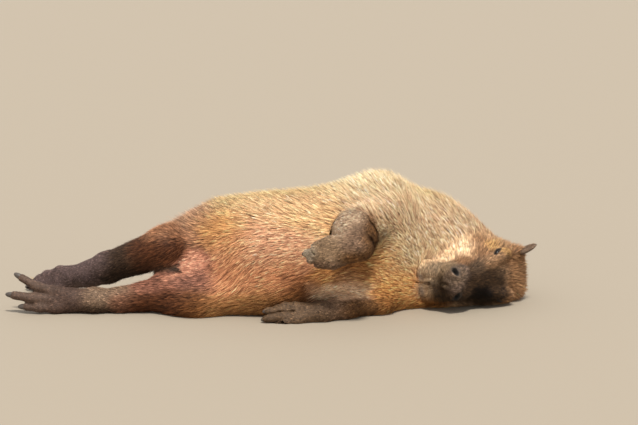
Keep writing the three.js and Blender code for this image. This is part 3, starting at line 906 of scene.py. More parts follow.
def toe_height(p):
    """Creases across the toes."""
    height = np.zeros(len(p))
    for paw in paws.values():
        q = paw.axes.inward(p)
        middle = [paw.palm[0].along[0] * TOE_CREASE.middle, 0, 0]
        close = np.linalg.norm(q - middle, axis=1) < TOE_CREASE.reach
        for root, end in paw.toes:
            line = np.array([root.a, root.a + root.along, end.a + end.along])
            near_toe = close & (distance_to_line(q, line) < end.ra * TOE_CREASE.off)
            for share in TOE_CREASES:
                bone, t = (root, share * 2) if share < 0.5 else (end, share * 2 - 1)
                along = (q - bone.a) @ unit(bone.along) - t * np.linalg.norm(bone.along)
                height -= near_toe * TOE_CREASE.depth * hump(along, TOE_CREASE.width)
    return height


def round_nostril(q, hole):
    """How far places on the head are from a nostril's middle, where 1 is its edge, and how far they
    lie on its lower rim, which is raised and carries a painted highlight."""
    u, v, out = hole.axes.inward(q).T
    u, v = u / hole.half[0], v * hole.side / hole.half[1]
    away = np.hypot(u, v) + FAR * (np.abs(out) > NOSTRIL_REACH)
    lower = NOSTRIL_LOWER.way[0] * u + NOSTRIL_LOWER.way[1] * v
    return away, step(*NOSTRIL_LOWER.edge, lower / np.maximum(away, 1e-6))


def nostril_height(p):
    q = HEAD.inward(p)
    height = np.zeros(len(p))
    for hole in NOSTRILS:
        away, lower = round_nostril(q, hole)
        rim = NOSTRIL_RIM.least + (1 - NOSTRIL_RIM.least) * lower
        height += hole.rim * rim * hump(away - NOSTRIL_RIM.off, NOSTRIL_RIM.width)
        height -= hole.depth * (1 - step(*NOSTRIL_RIM.pit, away))
    return height


def open_eyes(p):
    """Draws the skin between the lids in under the eyeball, and gives each lid a thick rim."""
    for eye in EYES.values():
        q = eye.axes.inward(p)
        away = np.linalg.norm(q, axis=1)
        along = (q[:, 0] - eye.shift) / eye.long
        gap = eye.open * (1 - along ** 2)
        beside = np.abs(q[:, 1]) - np.maximum(gap, 0)
        front = (q[:, 2] > 0) & (away < EYE_RADIUS + LID_FRONT)
        inside = front * (1 - step(*LID_EDGE, beside)) * (np.abs(along) < 1)
        rim = LID_RIM.rise * hump(beside - LID_RIM.off, LID_RIM.width)
        rim *= front * (1 - step(*LID_RIM.ends, np.abs(along)))
        target = away + rim + (EYE_RADIUS - EYE_BACK - away) * inside
        q *= (target / np.maximum(away, 1e-6))[:, None]
        p = np.where(front[:, None], eye.axes.outward(q), p)
    return p


def round_cup(p, ear):
    """How far places are from the middle of an ear's cup, where 1 is its edge, and where they are in
    the ear's axes."""
    q = ear.axes.inward(p)
    along, sideways = ((q[:, i] - CUP.middle[i]) / CUP.half[i] for i in (0, 1))
    return np.hypot(along, sideways), q


def hollow_ears(p):
    for ear in EARS.values():
        away, q = round_cup(p, ear)
        out = q[:, 2] * ear.side
        facing = (out > 0) & (out < CUP.thick) & (q[:, 0] > 0)
        ridges = CUP_RIDGES.height * np.cos(q[:, 1] * CUP_RIDGES.close) * step(*CUP_RIDGES.edge, away)
        q[:, 2] -= ear.side * facing * (CUP.depth + ridges) * (1 - step(*CUP.edge, away))
        p = np.where(facing[:, None], ear.axes.outward(q), p)
    return p


def near(groups, p):
    """Whether places lie near some spots. Each group is (spots, reach)."""
    spots = [(spot, reach) for places, reach in groups for spot in places]
    return np.any([np.linalg.norm(p - spot, axis=1) < reach for spot, reach in spots], axis=0)


FACE_SPOTS = [HEAD.outward(v) for v in (
    (232, 20, 36), (232, 20, -36), (246, -20, 0), (248, -60, 0), (236, -94, 14), (214, -98, 38),
    (214, -98, -38), (250, -84, 0))]
EYE_SPOTS = [eye.axes.origin for eye in EYES.values()]
NOSTRIL_SPOTS = [HEAD.outward(hole.place) for hole in NOSTRILS]
TOE_SPOTS = [
    paw.axes.outward(toe[0].a + toe[0].along) for paw in paws.values() for toe in paw.toes]
# Where the skin's faces are small, and where they are smallest: the spots and how far round them.
FINE = [(FACE_SPOTS, 26), (EYE_SPOTS, 30), (TOE_SPOTS, 30)]
FINEST = [(EYE_SPOTS, 19), (NOSTRIL_SPOTS, 17)]


def make_skin():
    piece = start_skin()
    plain = step(*PLAIN_HAIR, looks_of(piece.data)[1][:, LENGTH])
    group = piece.vertex_groups.new(name="plain")
    for level in range(1, PLAIN_LEVELS + 1):
        some = np.flatnonzero(np.round(plain * PLAIN_LEVELS) == level)
        group.add([int(i) for i in some], level / PLAIN_LEVELS, "REPLACE")
    use_modifier(piece, "DECIMATE", ratio=COARSER, vertex_group="plain")
    mesh = piece.data
    refine(mesh, FINE)
    settle(mesh, coat_depth(mesh), 6)
    for turn in range(3):
        even_out(mesh, 3)
        settle(mesh, coat_depth(mesh), 2)
    refine(mesh, FINEST)
    p = settle(mesh, coat_depth(mesh), 2)
    normal = read(mesh, "normal", 3).astype(float)
    p += normal * (fold_height(p) + toe_height(p) + nostril_height(p))[:, None]
    p = hollow_ears(open_eyes(p))
    p[:, 2] = np.maximum(p[:, 2], FLOOR_LIFT)
    set_places(mesh, to_frame(p))
    with edited(mesh) as bm:
        bmesh.ops.recalc_face_normals(bm, faces=bm.faces)
    mesh.shade_smooth()
    print("skin faces", len(mesh.polygons))
    return piece


# Markings and the lie of the coat

HIDE_SHARE = 0.85       # the skin's colour as a share of the coat's
ROOT_HUE, TIP_HUE = 1.08, 0.92      # roots are more deeply coloured than tips
PALEST = 0.93           # the lightest that a tip gets


def style(colour, length, rise, width, density, dark=0.42, hide=HIDE_SHARE):
    """One kind of coat: its colour, the length of a tuft, how steeply it stands (0 flat, 1 upright), its
    width, tufts to a square centimetre, how dark its root is, and the skin's share of the colour. The
    tip is lighter than the colour by as much as the root is darker."""
    colour = np.array(paint(colour))
    light = colour.max()
    hue = colour / light
    root = hue ** ROOT_HUE * light * dark
    tip = hue ** TIP_HUE * min(light * (2 - dark), PALEST)
    return np.array([*(colour * hide), *root, *tip, length, rise, width, density])


HIDE, ROOT, TIP, LENGTH, RISE, WIDTH, DENSITY = slice(0, 3), slice(3, 6), slice(6, 9), 9, 10, 11, 12
STYLES = {
    "withers": style("d4b288", 36, 0.46, 2.7, 15, dark=0.68),
    "back": style("b49466", 38, 0.34, 2.7, 14, dark=0.67),
    "rump": style("8e6a50", 32, 0.30, 2.6, 14),
    "shoulder": style("cea07a", 36, 0.32, 2.7, 15),
    "flank": style("d2a074", 30, 0.24, 2.5, 15, dark=0.68),
    "gold_flank": style("d29e6c", 26, 0.24, 2.4, 15, dark=0.68),
    "tan_flank": style("be8450", 28, 0.25, 2.4, 15, dark=0.68),
    "belly": style("cc906c", 20, 0.20, 2.1, 16, dark=0.68),
    "belly_side": style("ce8c5e", 24, 0.24, 2.3, 15, dark=0.68),
    "low_belly": style("c6825a", 24, 0.24, 2.2, 15, dark=0.68),
    # Darker towards the floor: partly the lower flank's own browner coat, partly painted shade where the
    # belly sags onto the floor.
    "floor_belly": style("9e6c40", 26, 0.26, 2.2, 15),
    # Painted shade: a dark brown laid low on the belly's overhanging front, between the left arm and the
    # chest, and where belly and thigh meet the floor.
    "fold_shade": style("6e4222", 24, 0.28, 2.2, 15),
    "chest": style("b27642", 26, 0.28, 2.3, 15, dark=0.45),
    "chest_light": style("da965c", 28, 0.30, 2.3, 15, dark=0.53),
    "armpit": style("e6b48c", 12, 0.24, 1.8, 12, dark=0.7),
    "neck": style("d4a882", 28, 0.30, 2.5, 15, dark=0.48),
    "neck_low": style("dcb488", 24, 0.32, 2.4, 16, dark=0.59),
    "cheek": style("d2aa84", 16, 0.30, 2.2, 22, dark=0.68),
    "cheek_back": style("705036", 14, 0.32, 2.1, 24),
    "muzzle": style("705c46", 8, 0.32, 2.0, 34),
    # Painted shade: the muzzle's dark brown made near black on its left side, which faces down towards the
    # floor.
    "muzzle_shade": style("2c1e10", 8, 0.32, 2.0, 34, dark=0.39),
    "lip": style("a68a6c", 7, 0.30, 1.8, 30),
    "rust": style("6e451e", 12, 0.32, 2.0, 28, dark=0.37, hide=0.69),
    "nose": style("5e4c40", 7, 0.28, 1.8, 34),
    "face": style("342416", 12, 0.42, 2.0, 30),
    "face_mid": style("483626", 12, 0.42, 2.0, 30),
    # The face's own black fur, darkened further by painted shade on the head's left side, which faces the
    # floor.
    "face_black_and_shade": style("100804", 11, 0.36, 2.2, 28, dark=0.47),
    "brow": style("826246", 12, 0.42, 2.0, 30),
    "gold": style("9a7448", 11, 0.38, 2.1, 30, dark=0.46),
    "crown": style("8a6444", 19, 0.54, 2.2, 24),
    "nape": style("8e6c4c", 22, 0.36, 2.4, 18),
    "thigh": style("885c40", 20, 0.24, 2.3, 16),
    # The legs' own darker brown, darkened further by painted shade under the right thigh and where the left
    # thigh lies on the floor; the teats have the same brown.
    "thigh_dark_and_shade": style("522e1a", 20, 0.26, 2.3, 16),
    "thigh_light": style("805240", 18, 0.24, 2.2, 16, dark=0.45),
    "groin": style("c48468", 12, 0.22, 1.9, 14, dark=0.68),
    "shank": style("3a2a1e", 13, 0.28, 2.1, 22),
    "shank_left": style("724c38", 14, 0.26, 2.1, 20),
    "ankle": style("765e4a", 8, 0.24, 1.9, 24),
    "foot": style("584642", 6, 0.22, 1.7, 26),
    "toe": style("5a463a", 5, 0.20, 1.6, 22, dark=0.45),
    "arm": style("b09074", 9, 0.30, 2.1, 30),
    # The forearms' own darker hair, darkened further by painted shade on their lower sides and on the right
    # forearm's side away from the light.
    "arm_dark_and_shade": style("6a482a", 9, 0.30, 2.1, 30),
    "boot": style("725844", 8, 0.28, 2.0, 30),
    "hand": style("80664c", 7, 0.26, 1.8, 28),
    "hand_left": style("5a4430", 6, 0.24, 1.8, 26),
    "foot_left": style("4c382e", 6, 0.22, 1.7, 26),
    "finger": style("8e7e6a", 5, 0.20, 1.7, 22, dark=0.47),
    "lid": style("81776e", 4, 0.20, 1.2, 14, dark=0.49, hide=1.21),
    "ear": style("6c5644", 5, 0.22, 1.4, 20, dark=0.47),
}

# Where each kind of coat is on each part of the animal: its middle, how far it reaches, and the way
# the hair points there. Places on the head are in the head's axes.
COAT = {
    "body": [
        ("withers", (168, 170, 350), (90, 90, 50), (-0.75, 0.64, 0.2)),
        ("withers", (90, 200, 345), (70, 90, 50), (-0.6, 0.7, 0.2)),
        ("withers", (262, 200, 320), (60, 90, 50), (-0.8, 0, 0.5)),
        ("shoulder", (131, 64, 304), (56, 44, 40), (-0.7, 0.7, 0.3)),
        ("shoulder", (200, 100, 300), (60, 60, 36), (-0.89, 0.07, 0.45)),
        ("shoulder", (212, 59, 262), (44, 50, 40), (-0.75, -0.4, 0.5)),
        ("shoulder", (264, 136, 280), (50, 60, 44), (-0.82, 0, 0.57)),
        ("chest_light", (184, 36, 190), (28, 50, 30), (-0.8, -0.4, -0.1)),
        ("neck_low", (188, 40, 228), (30, 50, 30), (-0.8, -0.4, 0.2)),
        ("back", (240, 330, 250), (120, 110, 100), (-1, 0.4, 0.3)),
        ("back", (-100, 400, 130), (340, 90, 180), (-1, 0.2, 0)),
        ("back", (-110, 250, 320), (240, 100, 50), (-0.8, 0.5, 0.1)),
        ("back", (-225, 220, 290), (60, 80, 40), (-0.6, 0.7, 0.1)),
        ("rump", (-350, 330, 160), (90, 120, 120), (-1, 0.1, -0.1)),
        ("rump", (-335, 190, 256), (60, 70, 40), (-0.7, 0.7, 0.1)),
        ("flank", (-101, 120, 296), (90, 50, 40), (-0.9, 0.4, 0.1)),
        ("flank", (11, 120, 304), (70, 50, 40), (-0.9, 0.4, 0.2)),
        ("flank", (-180, 130, 285), (50, 50, 36), (-0.9, 0.4, 0)),
        ("gold_flank", (3, 50, 252), (44, 40, 36), (-1, 0.1, 0.1)),
        ("gold_flank", (40, 70, 286), (34, 40, 30), (-0.9, 0.3, 0.2)),
        ("gold_flank", (-50, 60, 262), (44, 40, 30), (-1, 0.1, 0)),
        ("tan_flank", (-238, 104, 259), (44, 50, 36), (-0.9, 0.4, -0.1)),
        ("tan_flank", (-290, 100, 225), (36, 50, 30), (-1, 0.1, -0.2)),
        ("belly", (-76, 11, 207), (70, 50, 46), (-1, -0.1, -0.2)),
        ("belly", (-150, 15, 203), (56, 50, 50), (-0.9, 0.1, -0.4)),
        ("belly", (-30, 10, 190), (40, 50, 36), (-1, 0, -0.2)),
        ("belly_side", (-225, 45, 199), (44, 50, 40), (-0.7, 0.1, -0.7)),
        ("low_belly", (-171, 1, 123), (60, 50, 36), (-0.6, 0.1, -0.8)),
        ("low_belly", (-79, -3, 130), (50, 50, 36), (-0.7, 0, -0.7)),
        ("low_belly", (-250, 30, 110), (44, 50, 44), (-0.6, 0.1, -0.7)),
        # Painted shade low on the belly's front, which overhangs the floor.
        ("fold_shade", (-18, 2, 110), (34, 44, 26), (-0.7, 0.1, -0.7)),
        ("fold_shade", (-45, 0, 76), (34, 44, 22), (-0.7, 0.1, -0.7)),
        # Partly painted shade where the belly lies on the floor.
        ("floor_belly", (-242, 13, 36), (70, 60, 30), (-1, 0, -0.1)),
        ("floor_belly", (-147, -1, 50), (60, 60, 34), (-0.8, 0.1, -0.6)),
        # Painted shade where the belly meets the floor.
        ("fold_shade", (-80, 0, 30), (50, 60, 20), (-0.9, 0.1, -0.3)),
        ("chest", (44, 15, 119), (36, 44, 22), (-1, -0.1, -0.2)),
        # Painted shade between the left arm and the chest.
        ("fold_shade", (90, 20, 120), (40, 44, 18), (-1, -0.1, 0)),
        ("chest", (142, 26, 100), (40, 44, 30), (-0.9, -0.3, 0.2)),
        ("chest", (191, 43, 55), (40, 50, 34), (-0.8, -0.5, 0.2)),
        ("chest_light", (222, 63, 108), (30, 50, 34), (-0.8, -0.4, 0.4)),
        ("chest_light", (250, 87, 74), (30, 50, 30), (-0.8, -0.4, 0.3)),
        ("chest", (160, 30, 140), (40, 44, 24), (-0.8, -0.3, 0.5)),
        ("neck_low", (225, 66, 146), (26, 50, 26), (-0.64, -0.46, 0.62)),
        ("neck_low", (227, 65, 186), (32, 50, 30), (-0.69, -0.35, 0.63)),
        ("neck_low", (262, 100, 170), (34, 60, 44), (-0.65, -0.5, 0.58)),
        ("neck", (306, 148, 207), (50, 60, 40), (-0.71, -0.4, 0.58)),
        ("neck_low", (320, 140, 165), (40, 60, 30), (-0.66, -0.33, 0.68)),
        ("neck", (344, 197, 245), (60, 70, 40), (-0.81, -0.03, 0.59)),
        ("neck", (433, 238, 204), (60, 60, 40), (-0.78, -0.12, 0.62)),
        ("nape", (500, 340, 120), (90, 90, 120), (-0.5, 0.8, 0.2)),
        ("chest", (340, 165, 20), (90, 60, 30), (-1, -0.2, 0)),
        ("armpit", (34, 18, 66), (34, 36, 15), (-1, 0, -0.2)),
        ("armpit", (66, 16, 80), (44, 36, 16), (-1, 0, -0.2)),
        ("armpit", (120, 30, 84), (40, 36, 14), (-1, 0, -0.2)),
        ("rump", (-395, 140, 242), (44, 60, 26), (-0.9, 0.4, 0)),
        ("thigh", (-422, 108, 222), (50, 60, 30), (-1, 0.2, 0)),
        ("thigh", (-370, 300, 110), (60, 90, 110), (-1, 0, -0.1)),
        ("thigh", (-340, 90, 205), (40, 50, 26), (-1, 0.1, -0.1)),
        # Painted shade under the right thigh, over its own darker brown.
        ("thigh_dark_and_shade", (-450, 110, 180), (44, 60, 34), (-1, 0.1, -0.2)),
        ("thigh_dark_and_shade", (-395, 100, 168), (40, 50, 20), (-1, 0, -0.1)),
        ("groin", (-330, 75, 150), (40, 50, 20), (-1, 0, -0.2)),
        ("groin", (-372, 66, 126), (40, 50, 18), (-1, 0, -0.1)),
        ("groin", (-425, 70, 112), (40, 40, 16), (-1, 0, -0.1)),
        ("thigh_light", (-300, 30, 110), (40, 50, 30), (-0.7, 0.1, -0.6)),
        ("thigh_light", (-352, 30, 95), (50, 50, 20), (-0.9, 0, -0.3)),
        ("thigh_light", (-460, 60, 80), (40, 50, 24), (-1, 0, -0.1)),
        # Painted shade where the left thigh lies on the floor.
        ("thigh_dark_and_shade", (-390, 20, 50), (70, 50, 26), (-1, 0, -0.1)),
        # Painted shade in the fold between the belly and the left thigh, on the floor.
        ("fold_shade", (-330, 5, 50), (40, 50, 34), (-1, 0, -0.2)),
    ],
    "head": [
        ("cheek", (134, -59, 88), (50, 34, 40), (-0.2, -0.6, 0.8)),
        ("cheek", (169, -65, 66), (44, 30, 30), (-0.4, -0.8, 0.4)),
        ("cheek", (121, -15, 78), (36, 24, 24), (-0.6, -0.6, 0.4)),
        ("cheek", (60, -40, -85), (90, 50, 40), (-1, -0.2, 0)),
        ("cheek_back", (64, -9, 95), (30, 20, 26), (-0.8, -0.5, 0.3)),
        ("cheek_back", (98, 16, 76), (24, 20, 24), (-0.9, -0.3, 0.4)),
        ("nape", (10, 0, 96), (40, 36, 26), (-0.7, -0.3, 0.5)),
        ("nape", (-60, 10, 10), (40, 60, 60), (-1, 0, 0.1)),
        ("chest", (90, -115, 0), (110, 40, 80), (-1, 0, 0)),
        ("cheek_back", (165, 10, 58), (26, 16, 16), (-0.9, -0.2, 0.4)),
        ("lip", (252, -50, 24), (22, 26, 22), (-0.2, 0.2, 0.9)),
        ("muzzle", (240, -30, 38), (22, 24, 18), (-0.6, 0, 0.7)),
        ("muzzle", (226, -6, 48), (30, 22, 14), (-0.9, 0.1, 0.4)),
        ("lip", (250, -66, -24), (20, 26, 22), (0, -0.8, -0.5)),
        # Painted shade on the muzzle's downward left side.
        ("muzzle_shade", (244, -20, -6), (22, 22, 18), (-0.2, 0.8, 0.5)),
        ("muzzle_shade", (232, -10, -36), (26, 26, 26), (-0.6, 0.2, -0.6)),
        ("muzzle_shade", (216, 30, -46), (24, 24, 20), (-0.8, 0.3, -0.4)),
        ("rust", (200, -60, -44), (50, 30, 24), (-0.7, -0.5, -0.4)),
        ("nose", (226, 34, 6), (22, 20, 26), (-0.8, 0.6, 0.1)),
        ("nose", (200, 40, 30), (24, 18, 18), (-0.9, 0.3, 0.2)),
        ("face", (204, 30, -34), (30, 24, 24), (-0.9, 0.2, -0.2)),
        ("face_mid", (150, 50, 34), (34, 18, 16), (-1, 0.2, 0.2)),
        ("face", (150, 54, 4), (36, 20, 20), (-1, 0.2, 0)),
        ("face", (108, 66, 8), (30, 20, 22), (-1, 0.2, 0)),
        # Black fur with painted shade, on the head's downward left side.
        ("face_black_and_shade", (138, 52, -38), (30, 30, 20), (-1, 0.2, 0)),
        ("face_black_and_shade", (130, 20, -66), (50, 40, 24), (-0.9, 0.3, 0)),
        ("face", (76, 62, -40), (28, 26, 26), (-1, 0.1, -0.1)),
        ("face", (90, 68, -24), (26, 26, 16), (-1, 0.1, -0.1)),
        ("brow", (109, 60, 40), (28, 16, 14), (-1, 0.2, 0.2)),
        ("brow", (50, 70, 34), (30, 18, 18), (-1, 0.1, 0.1)),
        ("face_mid", (66, 72, 6), (26, 18, 20), (-1, 0.1, 0)),
        ("gold", (62, 26, 88), (20, 14, 16), (-0.8, -0.3, 0.4)),
        ("gold", (36, 68, 68), (14, 14, 14), (-0.9, -0.2, 0.4)),
        ("brow", (38, 72, -6), (16, 20, 34), (-1, 0.2, 0)),
        ("crown", (14, 72, 30), (26, 24, 26), (-0.9, 0.3, 0.2)),
        ("crown", (10, 72, -20), (28, 26, 26), (-1, 0.2, -0.1)),
        ("crown", (-30, 60, 0), (36, 40, 50), (-1, 0.4, 0)),
        ("crown", (10, 50, -70), (36, 36, 26), (-0.9, -0.2, -0.3)),
    ],
    "fore_right": [
        ("arm", (76, -40, 278), (34, 44, 24), (-0.6, -0.5, 0.2)),
        ("arm", (54, -38, 250), (30, 40, 26), (-0.8, -0.4, -0.2)),
        ("boot", (100, -70, 258), (26, 40, 24), (-0.8, -0.5, -0.2)),
        # Painted shade on the right forearm's far side and underside, over its darker hair.
        ("arm_dark_and_shade", (140, -60, 236), (30, 60, 34), (-0.6, -0.6, -0.4)),
        ("arm_dark_and_shade", (104, -110, 196), (44, 30, 20), (-1, -0.2, -0.2)),
        ("boot", (92, -110, 226), (34, 30, 20), (-1, -0.2, 0)),
        ("hand", (26, -105, 214), (44, 40, 34), (-1, 0, -0.1)),
        ("boot", (30, -100, 172), (44, 40, 16), (-1, 0, -0.1)),
        ("finger", (-34, -100, 206), (26, 40, 22), (-1, 0, 0)),
    ],
    "fore_left": [
        ("armpit", (66, 4, 72), (44, 30, 15), (-1, -0.2, 0)),
        ("armpit", (120, 30, 78), (50, 40, 20), (-1, -0.2, 0)),
        # Painted shade on the left forearm's lower side by the floor, over its darker hair.
        ("arm_dark_and_shade", (140, 10, 30), (50, 40, 18), (-1, -0.3, 0)),
        ("arm_dark_and_shade", (86, -10, 30), (50, 34, 20), (-1, -0.2, 0)),
        ("boot", (44, -20, 30), (40, 34, 30), (-1, -0.1, 0)),
        ("hand_left", (0, -40, 36), (50, 40, 34), (-1, 0, 0)),
        ("hand_left", (-90, -40, 34), (60, 40, 30), (-1, 0, 0)),
    ],
    "hind_right": [
        ("thigh", (-440, 120, 222), (50, 60, 24), (-1, 0.2, -0.3)),
        # Painted shade on the right thigh's lower side, over its own darker brown.
        ("thigh_dark_and_shade", (-425, 80, 182), (44, 50, 24), (-1, 0.2, -0.4)),
        ("thigh_dark_and_shade", (-490, 120, 165), (40, 60, 40), (-1, 0.2, -0.4)),
        ("shank", (-540, 150, 140), (80, 60, 60), (-0.9, 0.4, -0.4)),
        ("foot", (-612, 180, 124), (44, 44, 30), (-0.9, 0.4, -0.3)),
        ("foot", (-700, 255, 60), (90, 70, 60), (-0.9, 0.4, -0.2)),
    ],
    "hind_left": [
        ("thigh_light", (-480, 60, 84), (40, 50, 24), (-1, 0, 0)),
        # Painted shade where the left leg lies on the floor.
        ("thigh_dark_and_shade", (-480, 50, 34), (50, 50, 26), (-1, 0, 0)),
        ("ankle", (-560, 60, 66), (50, 50, 20), (-1, 0, 0)),
        ("shank_left", (-530, 50, 44), (40, 50, 26), (-1, 0, 0)),
        ("ankle", (-610, 50, 44), (40, 60, 30), (-1, 0, 0)),
        ("shank", (-610, 50, 8), (40, 60, 16), (-1, 0, 0)),
        ("foot_left", (-690, 60, 40), (60, 60, 60), (-1, 0, 0.1)),
        ("toe", (-790, 60, 50), (60, 60, 60), (-1, 0, 0.1)),
    ],
}
SHARPNESS = 1.6         # how sharply a kind of coat ends at its reach
FAINT, LEAST = 1e-6, 1e-12          # what it still weighs far away
OWN_EDGE = (2, 13)      # how far off its own flesh the coat of the head or a leg fades out
LEG_EDGES = {"hind_right": (2, 50), "hind_left": (2, 30)}

# Marks over the coat, with an edge of their own: the part, the middle, how far it reaches, how soft
# its edge is, the kind of coat, and how strong it is.
MARKS = [
    ("head", (75, 53, 53), (5, 6, 6), 0.4, "lid", 0.9),
    ("head", (252, -68, 14), (9, 9, 10), 0.5, "lid", 0.6),
    ("head", (247, -66, -24), (8, 10, 16), 0.5, "lid", 0.6),
    ("head", (222, 0, 24), (46, 60, 36), 0.18, "muzzle", 0.35),
    ("body", (80, 12, 80), (64, 50, 20), 0.5, "armpit", 0.9),
    ("fore_left", (80, 12, 80), (64, 50, 20), 0.5, "armpit", 0.9),
    # The teats, in their own dark brown.
    ("body", (-121, 0, 142), (8, 20, 8), 0.4, "thigh_dark_and_shade", 0.6),
    ("body", (-108, 6, 178), (8, 20, 8), 0.4, "thigh_dark_and_shade", 0.6),
]


# Where on paws and ears the hair points to their tips, and how strongly.
PAW_LIE = SimpleNamespace(middle=90, reach=153.85, edge=23.08, start=40, strong=3)
EAR_LIE = SimpleNamespace(off=5, start=(4, 14), strong=4)
# Painted shade and painted highlight on the bare skin: how strong each is, its place and its width or its
# edge.
# Painted shade in the nostrils' pits and over their upper rims, and a painted highlight on their lower rims.
NOSTRIL_SHADE = SimpleNamespace(pit=0.93, edge=(0.85, 1.2), above=0.4, above_at=(1.5, 0.4), bare=(1.25, 1.9))
NOSTRIL_HIGHLIGHT = SimpleNamespace(share=1.6, at=(1.4, 0.16))
# The dark round each eye: partly the lids' own dark rims, partly painted shade in the slit.
DARK_EYE = SimpleNamespace(share=0.92, wide=(3, 2.6), edge=(0.75, 1.25), bare=(1.0, 1.5), reach=28, hair=0.5)
# Painted shade along the mouth's crease.
MOUTH_SHADE = SimpleNamespace(share=0.6, width=0.9)
# Painted shade in the ear cups.
EAR_CUP_SHADE = SimpleNamespace(share=0.45, edge=(0.5, 1.0), off=9, behind=-2)


def belonging(p):
    """How far each place belongs to the head, to each lower leg, and to the rest of the body."""
    shares = {"head": 1 - step(*OWN_EDGE, head_field(p))}
    for name in LEGS:
        shares[name] = 1 - step(*LEG_EDGES.get(name, OWN_EDGE), lower_leg_field(name, p))
    shares["body"] = np.clip(1 - sum(shares.values()), 0.0, 1)
    return shares


def coat_at(p, normal):
    """The style and the lie of the hair at places on the skin."""
    shares = belonging(p)
    where = {part: HEAD.inward(p) if part == "head" else p for part in COAT}
    total = np.zeros(len(p))
    styles = np.zeros((len(p), len(STYLES["back"])))
    lie = np.zeros((len(p), 3))
    for part, kinds in COAT.items():
        for name, centre, reach, way in kinds:
            distance = np.linalg.norm((where[part] - centre) / reach, axis=1)
            weight = np.exp(-SHARPNESS * distance ** 2) + FAINT / (1 + distance ** 4)
            weight = shares[part] * weight + LEAST
            total += weight
            styles += weight[:, None] * STYLES[name]
            lie += weight[:, None] * (HEAD.turned(way) if part == "head" else np.array(way, float))
    styles /= total[:, None]
    for part, centre, reach, soft, name, strength in MARKS:
        away = np.linalg.norm((where[part] - centre) / reach, axis=1)
        share = shares[part] * strength * (1 - step(1 - soft, 1 + soft, away))
        styles += share[:, None] * (STYLES[name] - styles)
    lie = across(lie / total[:, None], normal)
    return along_paws(p, paint_detail_shade(p, styles), lie, normal)


def along_paws(p, styles, lie, normal):
    """Paws and ears have their own lie, and ears their own short hair."""
    for paw in paws.values():
        q = paw.axes.inward(p)
        round_palm = PAW_LIE.reach - np.linalg.norm(q - [PAW_LIE.middle, 0, 0], axis=1)
        on_paw = step(0, PAW_LIE.start, q[:, 0]) * step(0, PAW_LIE.edge, round_palm)
        lie += on_paw[:, None] * paw.axes.axes[0] * PAW_LIE.strong
    for ear in EARS.values():
        q = ear.axes.inward(p)
        share = (EAR(q) < EAR_LIE.off) * step(*EAR_LIE.start, q[:, 0])
        styles += share[:, None] * (STYLES["ear"] - styles)
        lie += share[:, None] * ear.axes.axes[0] * EAR_LIE.strong
    return styles, across(lie, normal)


def paint_detail_shade(p, styles):
    """Painted shade in the nostrils, the mouth's crease, the eye slits and the ear cups, over the lids' own
    dark rims, and a painted highlight on each nostril's lower rim, as shares of the skin's colour.
    """
    dark = np.ones(len(p))
    q = HEAD.inward(p)
    for hole in NOSTRILS:
        away, lower = round_nostril(q, hole)
        # Painted shade in the nostril's pit and over its upper rim, and a painted highlight on its lower
        # rim.
        pit = NOSTRIL_SHADE.pit * (1 - step(*NOSTRIL_SHADE.edge, away))
        (highlight_at, highlight_width), (above_at, above_width) = NOSTRIL_HIGHLIGHT.at, NOSTRIL_SHADE.above_at
        dark *= 1 - pit + NOSTRIL_HIGHLIGHT.share * lower * hump(away - highlight_at, highlight_width)
        dark *= 1 - NOSTRIL_SHADE.above * (1 - lower) * hump(away - above_at, above_width)
        styles[:, DENSITY] *= step(*NOSTRIL_SHADE.bare, away)
    for eye in EYES.values():
        e = eye.axes.inward(p)
        wide = np.array([eye.long, eye.open]) + DARK_EYE.wide
        away = np.hypot(*((e[:, :2] - [eye.shift, 0]) / wide).T)
        close = np.linalg.norm(e, axis=1) < DARK_EYE.reach
        # The lids' own dark rims, with painted shade in the slit.
        dark *= 1 - DARK_EYE.share * close * (1 - step(*DARK_EYE.edge, away))
        styles[:, DENSITY] *= 1 - close * (1 - step(*DARK_EYE.bare, away))
        styles[:, LENGTH] *= 1 - DARK_EYE.hair * close
    mirror = q * [1, 1, 0] + np.abs(q) * [0, 0, 1]
    # Painted shade along the mouth's crease.
    for axes, both, line, width, depth in FOLDS[:MOUTH_FOLDS]:
        dark *= 1 - MOUTH_SHADE.share * hump(distance_to_line(mirror, line), width * MOUTH_SHADE.width)
    for ear in EARS.values():
        away, e = round_cup(p, ear)
        # Painted shade inside the ear's cup.
        inside = (np.abs(EAR(e)) < EAR_CUP_SHADE.off) * (e[:, 2] * ear.side > EAR_CUP_SHADE.behind)
        dark *= 1 - EAR_CUP_SHADE.share * inside * (1 - step(*EAR_CUP_SHADE.edge, away))
    styles[:, HIDE] *= dark[:, None]
    return styles


# Coat

PIECE_TUFTS = 64000     # tufts in one piece of coat
PATCH = 0.003           # size of a tuft on the map that its colours are kept on
PATCH_CORNERS = [[-1, -1], [1, -1], [0, -0.6], [0, 1]]
# A lock of hair's size, how uneven its edge is, how far its tips are drawn together, and between
# which lengths of hair that starts.
LOCK = SimpleNamespace(size=4.2, uneven=0.12, pull=0.36, pulled=(5, 18))
CELL_NUMBERS = np.array([1, 5003, 25000009])    # turn a lock's three cell numbers into one
ROOT_UNDER = 0.8        # how deep a tuft is rooted in the skin
TIP_OVER = 0.4          # how far over the skin's flats the tufts end
